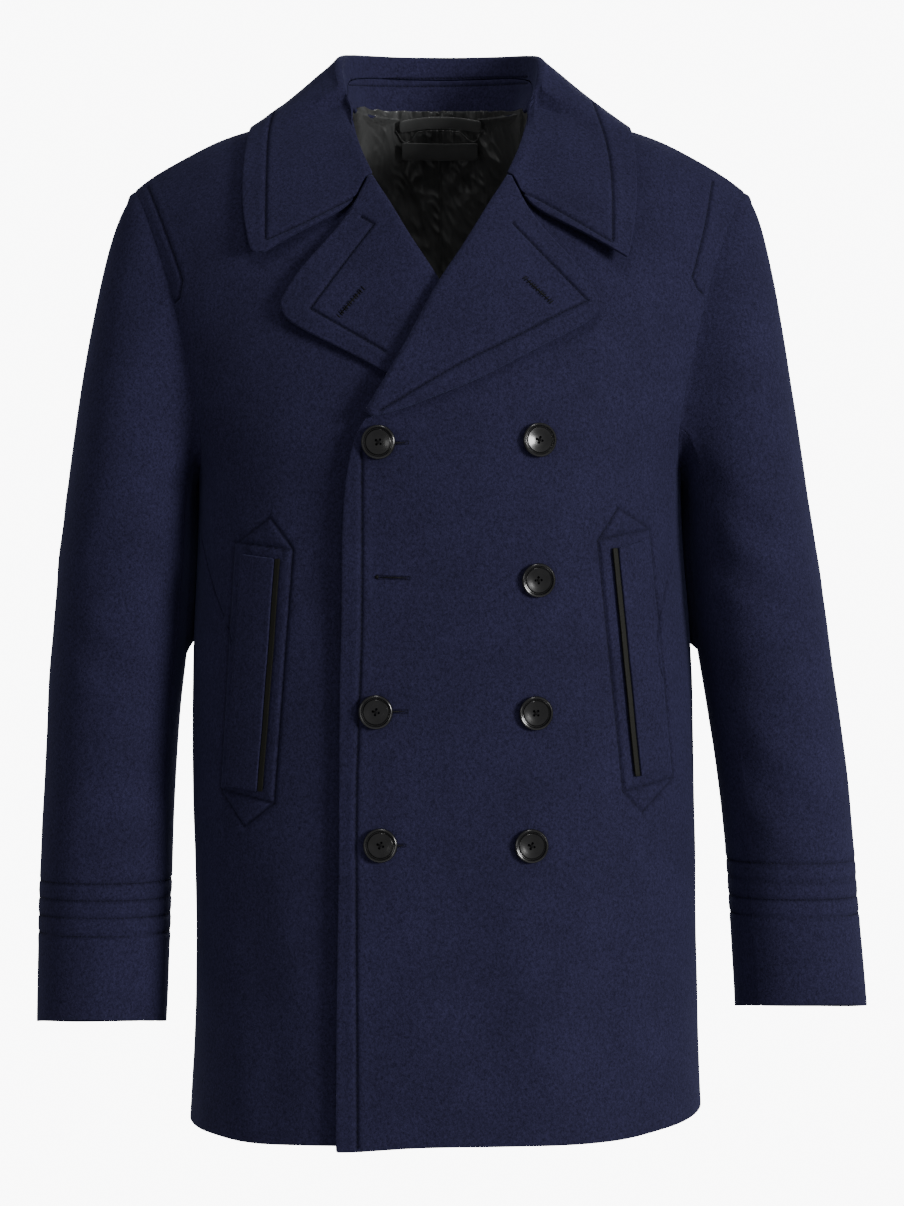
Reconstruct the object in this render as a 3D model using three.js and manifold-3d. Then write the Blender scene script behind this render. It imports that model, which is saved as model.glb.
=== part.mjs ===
// Pea coat in heavy wool, worn form with no wearer: hollow body, hanging sleeves, folded collar.
// Millimetres. X to the wearer's left, Y to the back, Z up. Left and right are the wearer's.
// The origin is at the base of the back neck, midway between the shoulders.
import * as THREE from 'three';
import { mergeVertices } from 'three/addons/utils/BufferGeometryUtils.js';
import Module from 'manifold-3d';

const wasm = await Module();
wasm.setup();

// Driving sizes of the cloth and seams
const WOOL = 2.6;
const SATIN = 1.0;
const LEATHER = 1.4;
const SEAM = 0.32;

// Levels that the cut depends on
const UNDERARM = -296;
const BREAK = -266;
const NECK_POINT = { reach: 71, level: -3 };
const TIP = { reach: 241, level: -68 };

// Body sections: half widths to each side, depth in front and at the back
const bodyRows = [
  { level: -812, right: 198, left: 207, front: 142, back: 139 },
  { level: -740, right: 194, left: 204, front: 139, back: 136 },
  { level: -640, right: 192, left: 202, front: 136, back: 131 },
  { level: -540, right: 195, left: 201, front: 133, back: 124 },
  { level: -440, right: 195, left: 199, front: 134, back: 118 },
  { level: -380, right: 193, left: 194, front: 136, back: 117 },
  { level: -296, right: 190, left: 190, front: 138, back: 118 },
  { level: -246, right: 203, left: 203, front: 138, back: 119 },
  { level: -200, right: 215, left: 215, front: 138, back: 119 },
  { level: -145, right: 235, left: 235, front: 138, back: 118 },
  { level: -68, right: 262, left: 262, front: 136, back: 118 },
  { level: 60, right: 274, left: 274, front: 134, back: 118 },
];
const CORNER = 2.4;
const closing = {
  front: { from: -280, power: 1.5 },
  back: { from: -200, power: 2.2 },
};

// Height of the shoulder line at each distance from the centre
const shoulderRows = [
  { reach: 0, height: 38 },
  { reach: 20, height: 34 },
  { reach: 40, height: 22 },
  { reach: 60, height: 6 },
  { reach: 71, height: -3 },
  { reach: 100, height: -8 },
  { reach: 142, height: -18 },
  { reach: 174, height: -28 },
  { reach: 207, height: -45 },
  { reach: 230, height: -59 },
  { reach: 241, height: -68 },
  { reach: 275, height: -104 },
];

// Armhole: turn is 0 at the shoulder tip and 180 at the underarm
const armholeRows = [
  { turn: 0, front: 241, back: 241, level: -68 },
  { turn: 25, front: 232, back: 235, level: -84 },
  { turn: 50, front: 218, back: 224, level: -122 },
  { turn: 75, front: 205, back: 213, level: -164 },
  { turn: 100, front: 195, back: 204, level: -206 },
  { turn: 125, front: 187, back: 197, level: -246 },
  { turn: 145, front: 184, back: 191, level: -272 },
  { turn: 162, front: 185.5, back: 188, level: -287 },
  { turn: 180, front: 190, back: 190, level: -296 },
];

// Roll line of the lapel and, above the gorge, the neck seam in front
const rollRows = [
  { level: -268, reach: -66 },
  { level: -255, reach: -59 },
  { level: -200, reach: -27 },
  { level: -148, reach: 0 },
  { level: -125, reach: 16 },
  { level: -88, reach: 37 },
  { level: -64, reach: 51 },
  { level: -40, reach: 61 },
  { level: -14, reach: 69 },
  { level: -3, reach: 71 },
];
const ROLL = 3.4;
const ROLL_DEPTH = 0.8;
const ROLL_CLEAR = 6.2;

// Front edge below the break, and where the under front ends beneath the top one
const edgeRows = [
  { level: -812, reach: -77 },
  { level: -700, reach: -77 },
  { level: -500, reach: -75 },
  { level: -350, reach: -73 },
  { level: -285, reach: -70.5 },
  { level: -266, reach: -65 },
];
const UNDER_FRONT_REACH = 18;

// The top front stands off the under front, most at its edge and over the lapel under it
const lap = { base: 4.0, edge: 3.0, edgeWidth: 55, fadeFrom: 105, fadeTo: 185 };
const lapBump = { x: 25, z: -222, wide: 130, tall: 140, height: 6.4 };

// Sleeve sections: edges seen from the front and depths, one table a side
const sleeveRows = {
  right: [
    { level: -330, inner: 192, outer: 297, front: -82, back: 74 },
    { level: -380, inner: 194.8, outer: 302, front: -79, back: 70 },
    { level: -425, inner: 197.5, outer: 306, front: -77, back: 66 },
    { level: -460, inner: 203, outer: 308.5, front: -74, back: 64 },
    { level: -540, inner: 208, outer: 312, front: -72, back: 56 },
    { level: -612, inner: 210, outer: 315.5, front: -70, back: 48 },
    { level: -670, inner: 212.5, outer: 316.5, front: -69, back: 42 },
    { level: -722, inner: 214.5, outer: 317, front: -68, back: 38 },
  ],
  left: [
    { level: -330, inner: 192.3, outer: 293.5, front: -82, back: 74 },
    { level: -380, inner: 196, outer: 301, front: -79, back: 70 },
    { level: -420, inner: 200, outer: 307, front: -77, back: 66 },
    { level: -450, inner: 206, outer: 310.5, front: -74, back: 65 },
    { level: -530, inner: 219, outer: 322, front: -72, back: 57 },
    { level: -610, inner: 226, outer: 327, front: -70, back: 48 },
    { level: -665, inner: 229, outer: 332, front: -69, back: 42 },
    { level: -710, inner: 231, outer: 336, front: -68, back: 38 },
  ],
};
const SLEEVE_CORNER = 2.15;
const SLEEVE_HALF = 60;
const CUFF_RISE = 7;
const armholeCentre = { reach: 212, y: -4, level: -184 };
const sleeveSeams = { right: { front: 150, back: 240 }, left: { front: 135, back: 240 } };

// Soft folds of the sleeves: place round the sleeve, level, slant, size and depth
const sleeveFolds = [
  { turn: 70, level: -385, slant: 0.35, round: 34, tall: 16, depth: -2.2 },
  { turn: 95, level: -440, slant: -0.3, round: 40, tall: 15, depth: -2.0 },
  { turn: 60, level: -505, slant: 0.25, round: 46, tall: 20, depth: -2.4 },
  { turn: 110, level: -590, slant: -0.2, round: 36, tall: 17, depth: -1.6 },
  { turn: 265, level: -400, slant: 0.3, round: 40, tall: 18, depth: -2.4 },
  { turn: 285, level: -500, slant: -0.3, round: 44, tall: 18, depth: -2.6 },
  { turn: 260, level: -600, slant: 0.2, round: 36, tall: 16, depth: -1.8 },
];

// Soft drape of the body: sign of the face, place across, level, size and depth
const bodyFolds = [
  { face: 1, across: 60, level: -640, wide: 26, tall: 170, depth: -3.0 },
  { face: 1, across: -70, level: -660, wide: 28, tall: 180, depth: -3.2 },
  { face: 1, across: 130, level: -420, wide: 24, tall: 120, depth: -2.4 },
  { face: 1, across: -128, level: -430, wide: 24, tall: 120, depth: -2.4 },
  { face: -1, across: 120, level: -700, wide: 30, tall: 110, depth: -2.2 },
  { face: -1, across: -130, level: -690, wide: 30, tall: 120, depth: -2.2 },
];

// Half of the collar from the centre back: fold, seam to the stand, outer edge, neck seam
const collarRows = [
  { at: 0, foldX: 0, foldY: 77, foldZ: 50, seamX: 0, seamY: 71.5, seamZ: 31,
    edgeX: 0, edgeY: 119, edgeZ: -27, neckX: 0, neckY: 67, neckZ: 0.6 },
  { at: 0.15, foldX: 38, foldY: 71, foldZ: 49.5, seamX: 35, seamY: 65.5, seamZ: 31,
    edgeX: 58, edgeY: 107, edgeZ: -31, neckX: 36, neckY: 58, neckZ: 0.4 },
  { at: 0.3, foldX: 65, foldY: 51, foldZ: 47.5, seamX: 60, seamY: 47, seamZ: 29,
    edgeX: 108, edgeY: 74, edgeZ: -37, neckX: 56.5, neckY: 36.5, neckZ: -1 },
  { at: 0.45, foldX: 79.5, foldY: 22, foldZ: 42.5, seamX: 73, seamY: 19, seamZ: 22,
    edgeX: 142, edgeY: 28, edgeZ: -20, neckX: 62.8, neckY: 13, neckZ: -1.4 },
  { at: 0.6, foldX: 78, foldY: -4, foldZ: 20, seamX: 72.5, seamY: -2, seamZ: 4,
    edgeX: 150, edgeY: -14, edgeZ: -24, neckX: 65.5, neckY: -4, neckZ: -4.5 },
  { at: 0.74, foldX: 71, foldY: -25, foldZ: -5, seamX: 72, seamY: -19, seamZ: -9,
    edgeX: 152, edgeY: -44, edgeZ: -58, neckX: 64, neckY: -13, neckZ: -11 },
  { at: 0.87, foldX: 62, foldY: -45, foldZ: -34, seamX: 65, seamY: -38, seamZ: -37,
    edgeX: 150.5, edgeY: -66, edgeZ: -95, neckX: 65, neckY: -30, neckZ: -30 },
  { at: 1, foldX: 51.5, foldY: -66, foldZ: -62, seamX: 54, seamY: -60, seamZ: -64,
    edgeX: 142, edgeY: -88, edgeZ: -132, neckX: 58, neckY: -50, neckZ: -50 },
];
const FOLD = 4.4;
const STAND_END = 0.64;
const LEAF_LIFT = 5.2;
const gorge = { reach: 66, level: -93, share: 0.3 };

// Outline of a lapel: lower edge from the break to the tip, then the upper edge to the gorge
const LAPEL_START = -250;
const lapelLower = [
  { reach: -50, level: -255 },
  { reach: -38, level: -252.5 },
  { reach: -7, level: -241 },
  { reach: 30, level: -226 },
  { reach: 69, level: -205 },
  { reach: 98, level: -190.5 },
  { reach: 113, level: -181.5 },
  { reach: 118.5, level: -175 },
  { reach: 119.5, level: -165 },
];
const lapelUpper = [
  { reach: 51.5, level: -65 },
  { reach: 59, level: -80 },
  { reach: 66.5, level: -96 },
  { reach: 77, level: -109 },
  { reach: 91, level: -125 },
  { reach: 107, level: -144 },
  { reach: 119.5, level: -165 },
];
const LAPEL_STAND_OFF = 2.2;

// Pockets: corners of the welt and width of the leather strip beside it
const pockets = {
  right: { top: { outer: -149.5, inner: -119.5, outerZ: -356.5, innerZ: -360 },
    bottom: { outer: -162, inner: -133.5, outerZ: -533, innerZ: -536.5 } },
  left: { top: { outer: 156, inner: 130, outerZ: -346, innerZ: -352 },
    bottom: { outer: 172, inner: 147.5, outerZ: -519, innerZ: -525 } },
};
const PIPING = 3.6;
const PIECE_GAP = 0.45;
const LABEL_THICK = 0.8;

// Lining: its upper end in panel rows and how loose it hangs, a row for each tenth across
const liningTop = [
  { top: 1.975, loose: 0 },
  { top: 1.975, loose: 0 },
  { top: 1.94, loose: 2 },
  { top: 1.8, loose: 1.5 },
];
const LINING_CLEAR = 1.2;
const LOOP = { half: 33, low: -16, high: -9.5, rise: 0.5, arch: 6, thick: 1.2 };

// Buttons: place on the top front, height above its form, tilt and turn in degrees
const buttons = [
  { name: 'button_1_edge', x: -45, z: -274, lift: 0.9, tiltX: 1.5, tiltZ: -1, spin: 8 },
  { name: 'button_1_inner', x: 74, z: -272, lift: -0.1, tiltX: -1, tiltZ: 1, spin: 22 },
  { name: 'button_2_inner', x: 73.4, z: -376.5, lift: -0.1, tiltX: 1, tiltZ: -0.8, spin: 50 },
  { name: 'button_3_edge', x: -47, z: -474.5, lift: 0.9, tiltX: 1.2, tiltZ: 1, spin: 36 },
  { name: 'button_3_inner', x: 71.7, z: -475.3, lift: 0.2, tiltX: -0.8, tiltZ: -1, spin: 15 },
  { name: 'button_4_edge', x: -42.5, z: -573.7, lift: 0.9, tiltX: 1, tiltZ: 1, spin: 12 },
  { name: 'button_4_inner', x: 68.3, z: -574.4, lift: 0.1, tiltX: -1, tiltZ: 0.5, spin: 28 },
];
const BUTTON = { radius: 13, thick: 4.4, rim: 2.4, dish: 1.4, foot: 2.6, hole: 1.1, holeSpread: 2.1 };

// Colours of the finishes
const finishes = {
  wool: { color: 0x1d1f38, roughness: 0.95 },
  satin: { color: 0x0c0c10, roughness: 0.35 },
  leather: { color: 0x20221c, roughness: 0.5 },
  horn: { color: 0x08080a, roughness: 0.2 },
};

const rad = THREE.MathUtils.degToRad;
const { lerp, clamp, smoothstep } = THREE.MathUtils;
const vec = (x, y, z) => new THREE.Vector3(x, y, z);
const bell = (value) => Math.exp(-value * value);
const coat = new THREE.Group();

// Smooth reading of one column of a table between its rows
function read(rows, key, at, column) {
  const rising = rows[rows.length - 1][key] > rows[0][key] ? 1 : -1;
  let i = 0;
  while (i < rows.length - 2 && (at - rows[i + 1][key]) * rising > 0) i += 1;
  const slope = (j) => {
    const a = rows[Math.max(0, j - 1)];
    const b = rows[Math.min(rows.length - 1, j + 1)];
    return (b[column] - a[column]) / (b[key] - a[key]);
  };
  const [p, q] = [rows[i], rows[i + 1]];
  const span = q[key] - p[key];
  const t = clamp((at - p[key]) / span, 0, 1);
  const [t2, t3] = [t * t, t * t * t];
  return (2 * t3 - 3 * t2 + 1) * p[column] + (t3 - 2 * t2 + t) * span * slope(i)
    + (3 * t2 - 2 * t3) * q[column] + (t3 - t2) * span * slope(i + 1);
}

// Body form. face is -1 in front and 1 at the back, turn runs from -90 to 90 degrees across.
const halfWidth = (x, z) => read(bodyRows, 'level', z, x < 0 ? 'right' : 'left');
const shoulderHeight = (x) => read(shoulderRows, 'reach', Math.abs(x), 'height');

function turnOf(x, z) {
  const share = clamp(Math.abs(x) / halfWidth(x, z), 0, 1);
  return Math.sign(x) * Math.asin(share ** (CORNER / 2));
}

function bodyFold(face, x, z) {
  let sum = 0;
  for (const f of bodyFolds) {
    if (f.face === face) sum += f.depth * bell((x - f.across) / f.wide) * bell((z - f.level) / f.tall);
  }
  return sum;
}

function bodyPoint(face, turn, z) {
  const x = Math.sign(turn) * halfWidth(turn, z) * Math.abs(Math.sin(turn)) ** (2 / CORNER);
  const { from, power } = face < 0 ? closing.front : closing.back;
  const rise = clamp((z - from) / (shoulderHeight(x) - from), 0, 1);
  const close = (1 - rise ** power) ** (1 / power);
  const depth = read(bodyRows, 'level', z, face < 0 ? 'front' : 'back') + bodyFold(face, x, z);
  return vec(x, face * depth * Math.abs(Math.cos(turn)) ** (2 / CORNER) * close, z);
}

// How far the top front stands in front of the body form
function lapLift(x, z) {
  const down = 1 - smoothstep(z, -140, -80);
  const across = 1 - smoothstep(x, lap.fadeFrom, lap.fadeTo);
  const edge = 1 - smoothstep(x - read(edgeRows, 'level', z, 'reach'), 0, lap.edgeWidth);
  const bump = lapBump.height * bell((x - lapBump.x) / lapBump.wide) * bell((z - lapBump.z) / lapBump.tall);
  return (lap.base + lap.edge * edge + bump) * across * down;
}

// Point of a front's outer face over a place (x, z), and the same moved out by lift
function frontBase(side, x, z) {
  const p = bodyPoint(-1, turnOf(x, z), z);
  if (side > 0) p.y -= lapLift(x, z);
  return p;
}

function frontNormal(side, x, z) {
  const step = 2;
  const across = frontBase(side, x + step, z).sub(frontBase(side, x - step, z));
  const up = frontBase(side, x, z + step).sub(frontBase(side, x, z - step));
  return across.cross(up).normalize();
}

function frontAt(side, x, z, lift) {
  return frontBase(side, x, z).addScaledVector(frontNormal(side, x, z), lift);
}

function armholePoint(face, side, degrees) {
  const level = read(armholeRows, 'turn', degrees, 'level');
  const reach = read(armholeRows, 'turn', degrees, face < 0 ? 'front' : 'back');
  return bodyPoint(face, turnOf(side * Math.min(reach, halfWidth(side, level)), level), level);
}

// Faces of a cloth wall between an outer and an inner grid, with rims along its four edges
function wallGeometry(outer, inner) {
  const rows = outer.length;
  const columns = outer[0].length;
  const positions = [];
  for (const grid of [outer, inner]) {
    for (const row of grid) row.forEach((p) => positions.push(p.x, p.y, p.z));
  }
  const id = (layer, i, j) => (layer * rows + i) * columns + j;
  const index = [];
  const quad = (a, b, c, d) => index.push(a, b, c, a, c, d);
  for (let i = 0; i < rows - 1; i += 1) {
    for (let j = 0; j < columns - 1; j += 1) {
      quad(id(0, i, j), id(0, i, j + 1), id(0, i + 1, j + 1), id(0, i + 1, j));
      quad(id(1, i, j), id(1, i + 1, j), id(1, i + 1, j + 1), id(1, i, j + 1));
    }
  }
  for (let j = 0; j < columns - 1; j += 1) {
    quad(id(0, 0, j), id(1, 0, j), id(1, 0, j + 1), id(0, 0, j + 1));
    quad(id(0, rows - 1, j), id(0, rows - 1, j + 1), id(1, rows - 1, j + 1), id(1, rows - 1, j));
  }
  for (let i = 0; i < rows - 1; i += 1) {
    quad(id(0, i, 0), id(0, i + 1, 0), id(1, i + 1, 0), id(1, i, 0));
    quad(id(0, i, columns - 1), id(1, i, columns - 1), id(1, i + 1, columns - 1), id(0, i + 1, columns - 1));
  }
  return outward(positions, index);
}

// Turns the faces round where the closed form has a negative volume
function outward(positions, index) {
  let volume = 0;
  const corner = (i) => vec(positions[3 * i], positions[3 * i + 1], positions[3 * i + 2]);
  for (let i = 0; i < index.length; i += 3) {
    volume += corner(index[i]).dot(corner(index[i + 1]).cross(corner(index[i + 2])));
  }
  const faces = volume < 0 ? index.slice().reverse() : index;
  const geometry = new THREE.BufferGeometry();
  geometry.setAttribute('position', new THREE.Float32BufferAttribute(positions, 3));
  geometry.setIndex(faces);
  return geometry;
}

// Unit normals of a grid, turned to the side that facing gives
function gridNormals(grid, facing) {
  const last = grid.length - 1;
  const end = grid[0].length - 1;
  return grid.map((row, i) => row.map((p, j) => {
    const along = row[Math.min(end, j + 1)].clone().sub(row[Math.max(0, j - 1)]);
    const up = grid[Math.min(last, i + 1)][j].clone().sub(grid[Math.max(0, i - 1)][j]);
    return along.cross(up).normalize().multiplyScalar(facing);
  }));
}

function addPiece(name, geometry, finish) {
  const material = new THREE.MeshStandardMaterial({ ...finishes[finish], metalness: 0 });
  const mesh = new THREE.Mesh(geometry, material);
  mesh.name = name;
  coat.add(mesh);
  return mesh;
}

// A piece of cloth from its outer grid; settle may turn the normals at its seams
function addCloth(name, finish, outer, facing, thick, settle = (n) => n) {
  const normals = gridNormals(outer, facing);
  const inner = outer.map((row, i) => row.map((p, j) => {
    const n = settle(normals[i][j].clone(), i, j);
    return p.clone().addScaledVector(n, -thick);
  }));
  return addPiece(name, wallGeometry(outer, inner), finish);
}

// Body panels
const hemLevel = (x) => -800 + 13 * smoothstep(x, 40, 205) + 3 * smoothstep(-x, 120, 200)
  - 4 * bell((x + 75) / 30);
const LOWER = [0, 0.03, 0.11, 0.2, 0.3, 0.4, 0.5, 0.6, 0.7, 0.8, 0.9, 1];
const ARM_STEPS = 12;
const ARM_ROWS = Array.from({ length: ARM_STEPS }, (_, k) => (k + 1) / ARM_STEPS);
const UPPER = [0.03, ...ARM_ROWS];
const FRONT_COLUMNS = [0, 0.045, 0.12, 0.2, 0.29, 0.39, 0.5, 0.61, 0.72, 0.83, 0.93, 1];
const BACK_COLUMNS = [0, 0.1, 0.2, 0.3, 0.4, 0.5, 0.6, 0.7, 0.8, 0.9, 1];
const NECK_SHARE = 0.3;

function edgeReach(side, z) {
  if (side > 0) return read(edgeRows, 'level', z, 'reach');
  return -read(edgeRows, 'level', z, 'reach') + UNDER_FRONT_REACH;
}

// Front: inner boundary at a level, on the front edge below the break and by the roll line above
function frontBoundary(side, z) {
  if (z > BREAK) return side * (read(rollRows, 'level', z, 'reach') + ROLL_CLEAR * smoothstep(-z, 3, 12));
  return side > 0 ? edgeReach(1, z) : edgeReach(-1, z);
}

function panelPlace(face, side, s, v) {
  const outer = side * Math.PI / 2;
  const innerAt = (z) => (face > 0 ? 0 : turnOf(frontBoundary(side, z), z));
  const breakLevel = face < 0 ? BREAK : UNDERARM;
  const foot = () => ({ turn: lerp(innerAt(breakLevel), outer, s), z: lerp(breakLevel, UNDERARM, s) });
  if (v <= 1) {
    const across = side * (face < 0 ? lerp(frontBoundary(side, -790) * side, 200, s) : 200 * s);
    const z = lerp(hemLevel(across), foot().z, v);
    return { turn: lerp(innerAt(lerp(-790, breakLevel, v)), outer, s), z };
  }
  const t = v - 1;
  const rise = Math.sin(t * Math.PI / 2);
  const leftAt = (k) => {
    const z = lerp(breakLevel, face < 0 ? NECK_POINT.level : 0, k);
    return { turn: innerAt(z), z };
  };
  const rightAt = (k) => {
    const p = armholePoint(face, side, 180 * (1 - k));
    return { turn: turnOf(p.x, p.z), z: p.z };
  };
  const topAt = () => {
    const reach = topReach(face, s);
    const x = side * reach;
    const onNeck = reach < NECK_POINT.reach;
    const z = onNeck ? lerp(0, NECK_POINT.level, reach / NECK_POINT.reach) : shoulderHeight(x);
    return { turn: turnOf(x, z), z };
  };
  const [bottom, top, left, right] = [foot(), topAt(), leftAt(rise), rightAt(t)];
  const corners = [leftAt(0), rightAt(0), leftAt(1), rightAt(1)];
  const blend = (key) => (1 - t) * bottom[key] + t * top[key] + (1 - s) * left[key] + s * right[key]
    - (1 - s) * (1 - t) * corners[0][key] - s * (1 - t) * corners[1][key]
    - (1 - s) * t * corners[2][key] - s * t * corners[3][key];
  return { turn: blend('turn'), z: blend('z') };
}

function topReach(face, s) {
  if (face < 0) return lerp(NECK_POINT.reach, TIP.reach, s);
  if (s < NECK_SHARE) return NECK_POINT.reach * s / NECK_SHARE;
  return lerp(NECK_POINT.reach, TIP.reach, (s - NECK_SHARE) / (1 - NECK_SHARE));
}

function panelPoint(face, side, s, v) {
  const { turn, z } = panelPlace(face, side, s, v);
  const p = bodyPoint(face, turn, z);
  if (face < 0 && side > 0) p.y -= lapLift(p.x, z) * (1 - smoothstep(v, 1.8, 2));
  return p;
}

function panelGrid(face, side, columns) {
  const rows = [...LOWER, ...UPPER.map((t) => 1 + t)];
  const grid = rows.map((v) => columns.map((s) => panelPoint(face, side, s, v)));
  grid.forEach((row, i) => {
    const end = row[row.length - 1];
    const v = rows[i];
    if (v <= 1) end.y = face * SEAM / 2;
    if (v === 2) row.forEach((p, j) => { if (face < 0 || columns[j] >= NECK_SHARE) p.y = face * SEAM / 2; });
    if (face > 0) row[0].x = side * SEAM / 2;
  });
  return grid;
}

function addPanel(name, face, side, columns) {
  const grid = panelGrid(face, side, columns);
  const seamRow = grid.length - 1;
  const facing = -face * side;
  const settle = (n, i, j) => {
    const atSide = j === columns.length - 1 && i < LOWER.length;
    const atShoulder = i === seamRow && (face < 0 || columns[j] >= NECK_SHARE);
    if (atSide || atShoulder) n.y = 0;
    if (face > 0 && j === 0) n.x = 0;
    return n.normalize();
  };
  return addCloth(name, 'wool', grid, facing, WOOL, settle);
}

// Sleeves. turn is 0 at the outer side or shoulder tip, 90 in front and 180 under the arm.
function sleeveFold(turn, z) {
  let sum = 0;
  for (const f of sleeveFolds) {
    const drop = z - f.level - f.slant * (turn - f.turn);
    sum += f.depth * bell((turn - f.turn) / f.round) * bell(drop / f.tall);
  }
  return sum;
}

function sleeveRing(sideName, turn, z) {
  const side = sideName === 'left' ? 1 : -1;
  const rows = sleeveRows[sideName];
  const [inner, outer] = [read(rows, 'level', z, 'inner'), read(rows, 'level', z, 'outer')];
  const [front, back] = [read(rows, 'level', z, 'front'), read(rows, 'level', z, 'back')];
  const [c, s] = [Math.cos(rad(turn)), Math.sin(rad(turn))];
  const pull = 1 + sleeveFold(turn, z) / SLEEVE_HALF;
  const round = (value) => Math.sign(value) * Math.abs(value) ** (2 / SLEEVE_CORNER);
  const reach = (outer + inner) / 2 + pull * (outer - inner) / 2 * round(c);
  const y = (front + back) / 2 - pull * (back - front) / 2 * round(s);
  const rise = CUFF_RISE * smoothstep(-z, 600, 720) * s;
  return vec(side * reach, y, z + rise);
}

// Directions at the armhole: away from the panel in its surface, and the panel's own normal
function armholeFrame(side, turn) {
  const at = (d) => armholePoint(d <= 180 ? -1 : 1, side, d <= 180 ? d : 360 - d);
  const step = 1.5;
  const place = at(turn);
  const tangent = at((turn + step) % 360).sub(at((turn - step + 360) % 360)).normalize();
  const centre = vec(side * armholeCentre.reach, armholeCentre.y, armholeCentre.level);
  const away = centre.sub(place);
  away.addScaledVector(tangent, -away.dot(tangent)).normalize();
  const normal = tangent.clone().cross(away).normalize();
  if (normal.x * side < 0) normal.negate();
  return { place, away, normal };
}

// Sleeve head from the armhole down to the biceps: rows, gap, and how it leaves and arrives
const HEAD = [0, 0.05, 0.12, 0.21, 0.32, 0.45, 0.6, 0.78, 1];
const BICEPS = -330;
const headGap = { top: 0.42, under: 0.95 };
const headLeave = { top: 20, under: 9 };
const HEAD_ARRIVE = 0.47;

function sleevePoint(sideName, turn, row, levels) {
  if (row >= HEAD.length) return sleeveRing(sideName, turn, levels[row - HEAD.length]);
  const side = sideName === 'left' ? 1 : -1;
  const { place, away } = armholeFrame(side, turn);
  const under = (1 - Math.cos(rad(turn))) / 2;
  const start = place.addScaledVector(away, lerp(headGap.top, headGap.under, under));
  const end = sleeveRing(sideName, turn, BICEPS);
  const leave = start.clone().add(vec(side * lerp(headLeave.top, headLeave.under, under), 0, -1 - under));
  const drop = end.clone().sub(sleeveRing(sideName, turn, BICEPS - 4)).normalize();
  const arrive = end.clone().addScaledVector(drop, HEAD_ARRIVE * Math.max(12, start.z - end.z));
  const curve = new THREE.CubicBezierCurve3(start, leave, arrive, end);
  return curve.getPoint(HEAD[row]);
}

function addSleeve(sideName) {
  const side = sideName === 'left' ? 1 : -1;
  const seams = sleeveSeams[sideName];
  const cuff = sleeveRows[sideName][sleeveRows[sideName].length - 1].level;
  const levels = [];
  for (let k = 1; k <= 9; k += 1) levels.push(lerp(BICEPS, cuff, k / 9));
  levels.splice(8, 0, cuff + 16);
  const rowCount = HEAD.length + levels.length;
  const gap = 0.17;
  const step = 180 / ARM_STEPS;
  const pieces = [
    { name: `top_sleeve_${sideName}`, from: seams.back - 360, to: seams.front },
    { name: `under_sleeve_${sideName}`, from: seams.front, to: seams.back },
  ];
  for (const piece of pieces) {
    const turns = [piece.from + gap];
    for (let d = piece.from + step; d < piece.to; d += step) turns.push(d);
    turns.push(piece.to - gap);
    const pointAt = (degrees, i) => sleevePoint(sideName, (degrees + 360) % 360, i, levels);
    const grid = [];
    for (let i = 0; i < rowCount; i += 1) grid.push(turns.map((d) => pointAt(d, i)));
    const settle = (n, i, j) => {
      const next = Math.min(i + 1, rowCount - 1);
      const before = Math.max(i - 1, 0);
      const along = pointAt(turns[j] + 1, i).sub(pointAt(turns[j] - 1, i));
      const down = pointAt(turns[j], next).sub(pointAt(turns[j], before));
      const out = along.cross(down).normalize();
      if (out.dot(n) < 0) out.negate();
      if (i === 0) {
        const { away } = armholeFrame(side, (turns[j] + 360) % 360);
        const back = out.dot(away);
        if (back > 0) out.addScaledVector(away, -back).normalize();
      }
      return out;
    };
    addCloth(piece.name, 'wool', grid, side, WOOL, settle);
  }
}

// Collar. at runs from -1 at the right leaf's end over 0 at the centre back to 1.
function collarStation(at) {
  const side = at < 0 ? -1 : 1;
  const get = (column) => read(collarRows, 'at', Math.abs(at), column);
  const point = (name) => vec(side * get(`${name}X`), get(`${name}Y`), get(`${name}Z`));
  const fold = point('fold');
  const roll = side * read(rollRows, 'level', fold.z, 'reach');
  fold.lerp(frontAt(side, roll, fold.z, ROLL_DEPTH), smoothstep(Math.abs(at), FLAT_FROM, FLAT_TO));
  return { side, fold, seam: point('seam'), edge: point('edge'), neck: point('neck') };
}

// Distance of a point outside the body form, and the way out of it
function bodyDistance(p) {
  const value = (q) => {
    const face = q.y < 0 ? -1 : 1;
    const { from, power } = face < 0 ? closing.front : closing.back;
    const width = Math.min(0.999, Math.abs(q.x) / halfWidth(q.x, q.z));
    const full = read(bodyRows, 'level', q.z, face < 0 ? 'front' : 'back');
    const depth = full * (1 - width ** CORNER) ** (1 / CORNER);
    const rise = Math.max(0, (q.z - from) / (shoulderHeight(q.x) - from));
    return (Math.abs(q.y) / depth) ** power + rise ** power - 1;
  };
  const h = 0.5;
  const slope = vec(
    value(vec(p.x + h, p.y, p.z)) - value(vec(p.x - h, p.y, p.z)),
    value(vec(p.x, p.y + h, p.z)) - value(vec(p.x, p.y - h, p.z)),
    value(vec(p.x, p.y, p.z + h)) - value(vec(p.x, p.y, p.z - h)),
  ).divideScalar(2 * h);
  return { distance: value(p) / slope.length(), way: slope.normalize() };
}

function keepClear(p, lift, exactly = false) {
  for (let k = 0; k < 6; k += 1) {
    const { distance, way } = bodyDistance(p);
    if (exactly || distance < lift) p.addScaledVector(way, lift - distance);
  }
  return p;
}

// The collar lies flat on the front where it passes this station, and its ends stand off
const FLAT_FROM = 0.62;
const FLAT_TO = 0.8;
const END_LIFT = 5;
const FALL = [-1, -0.5, 0.001, 0.25, 0.5, 0.75, 1.001, 1.12, 1.26, 1.42, 1.58, 1.74, 1.9, 2];

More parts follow.
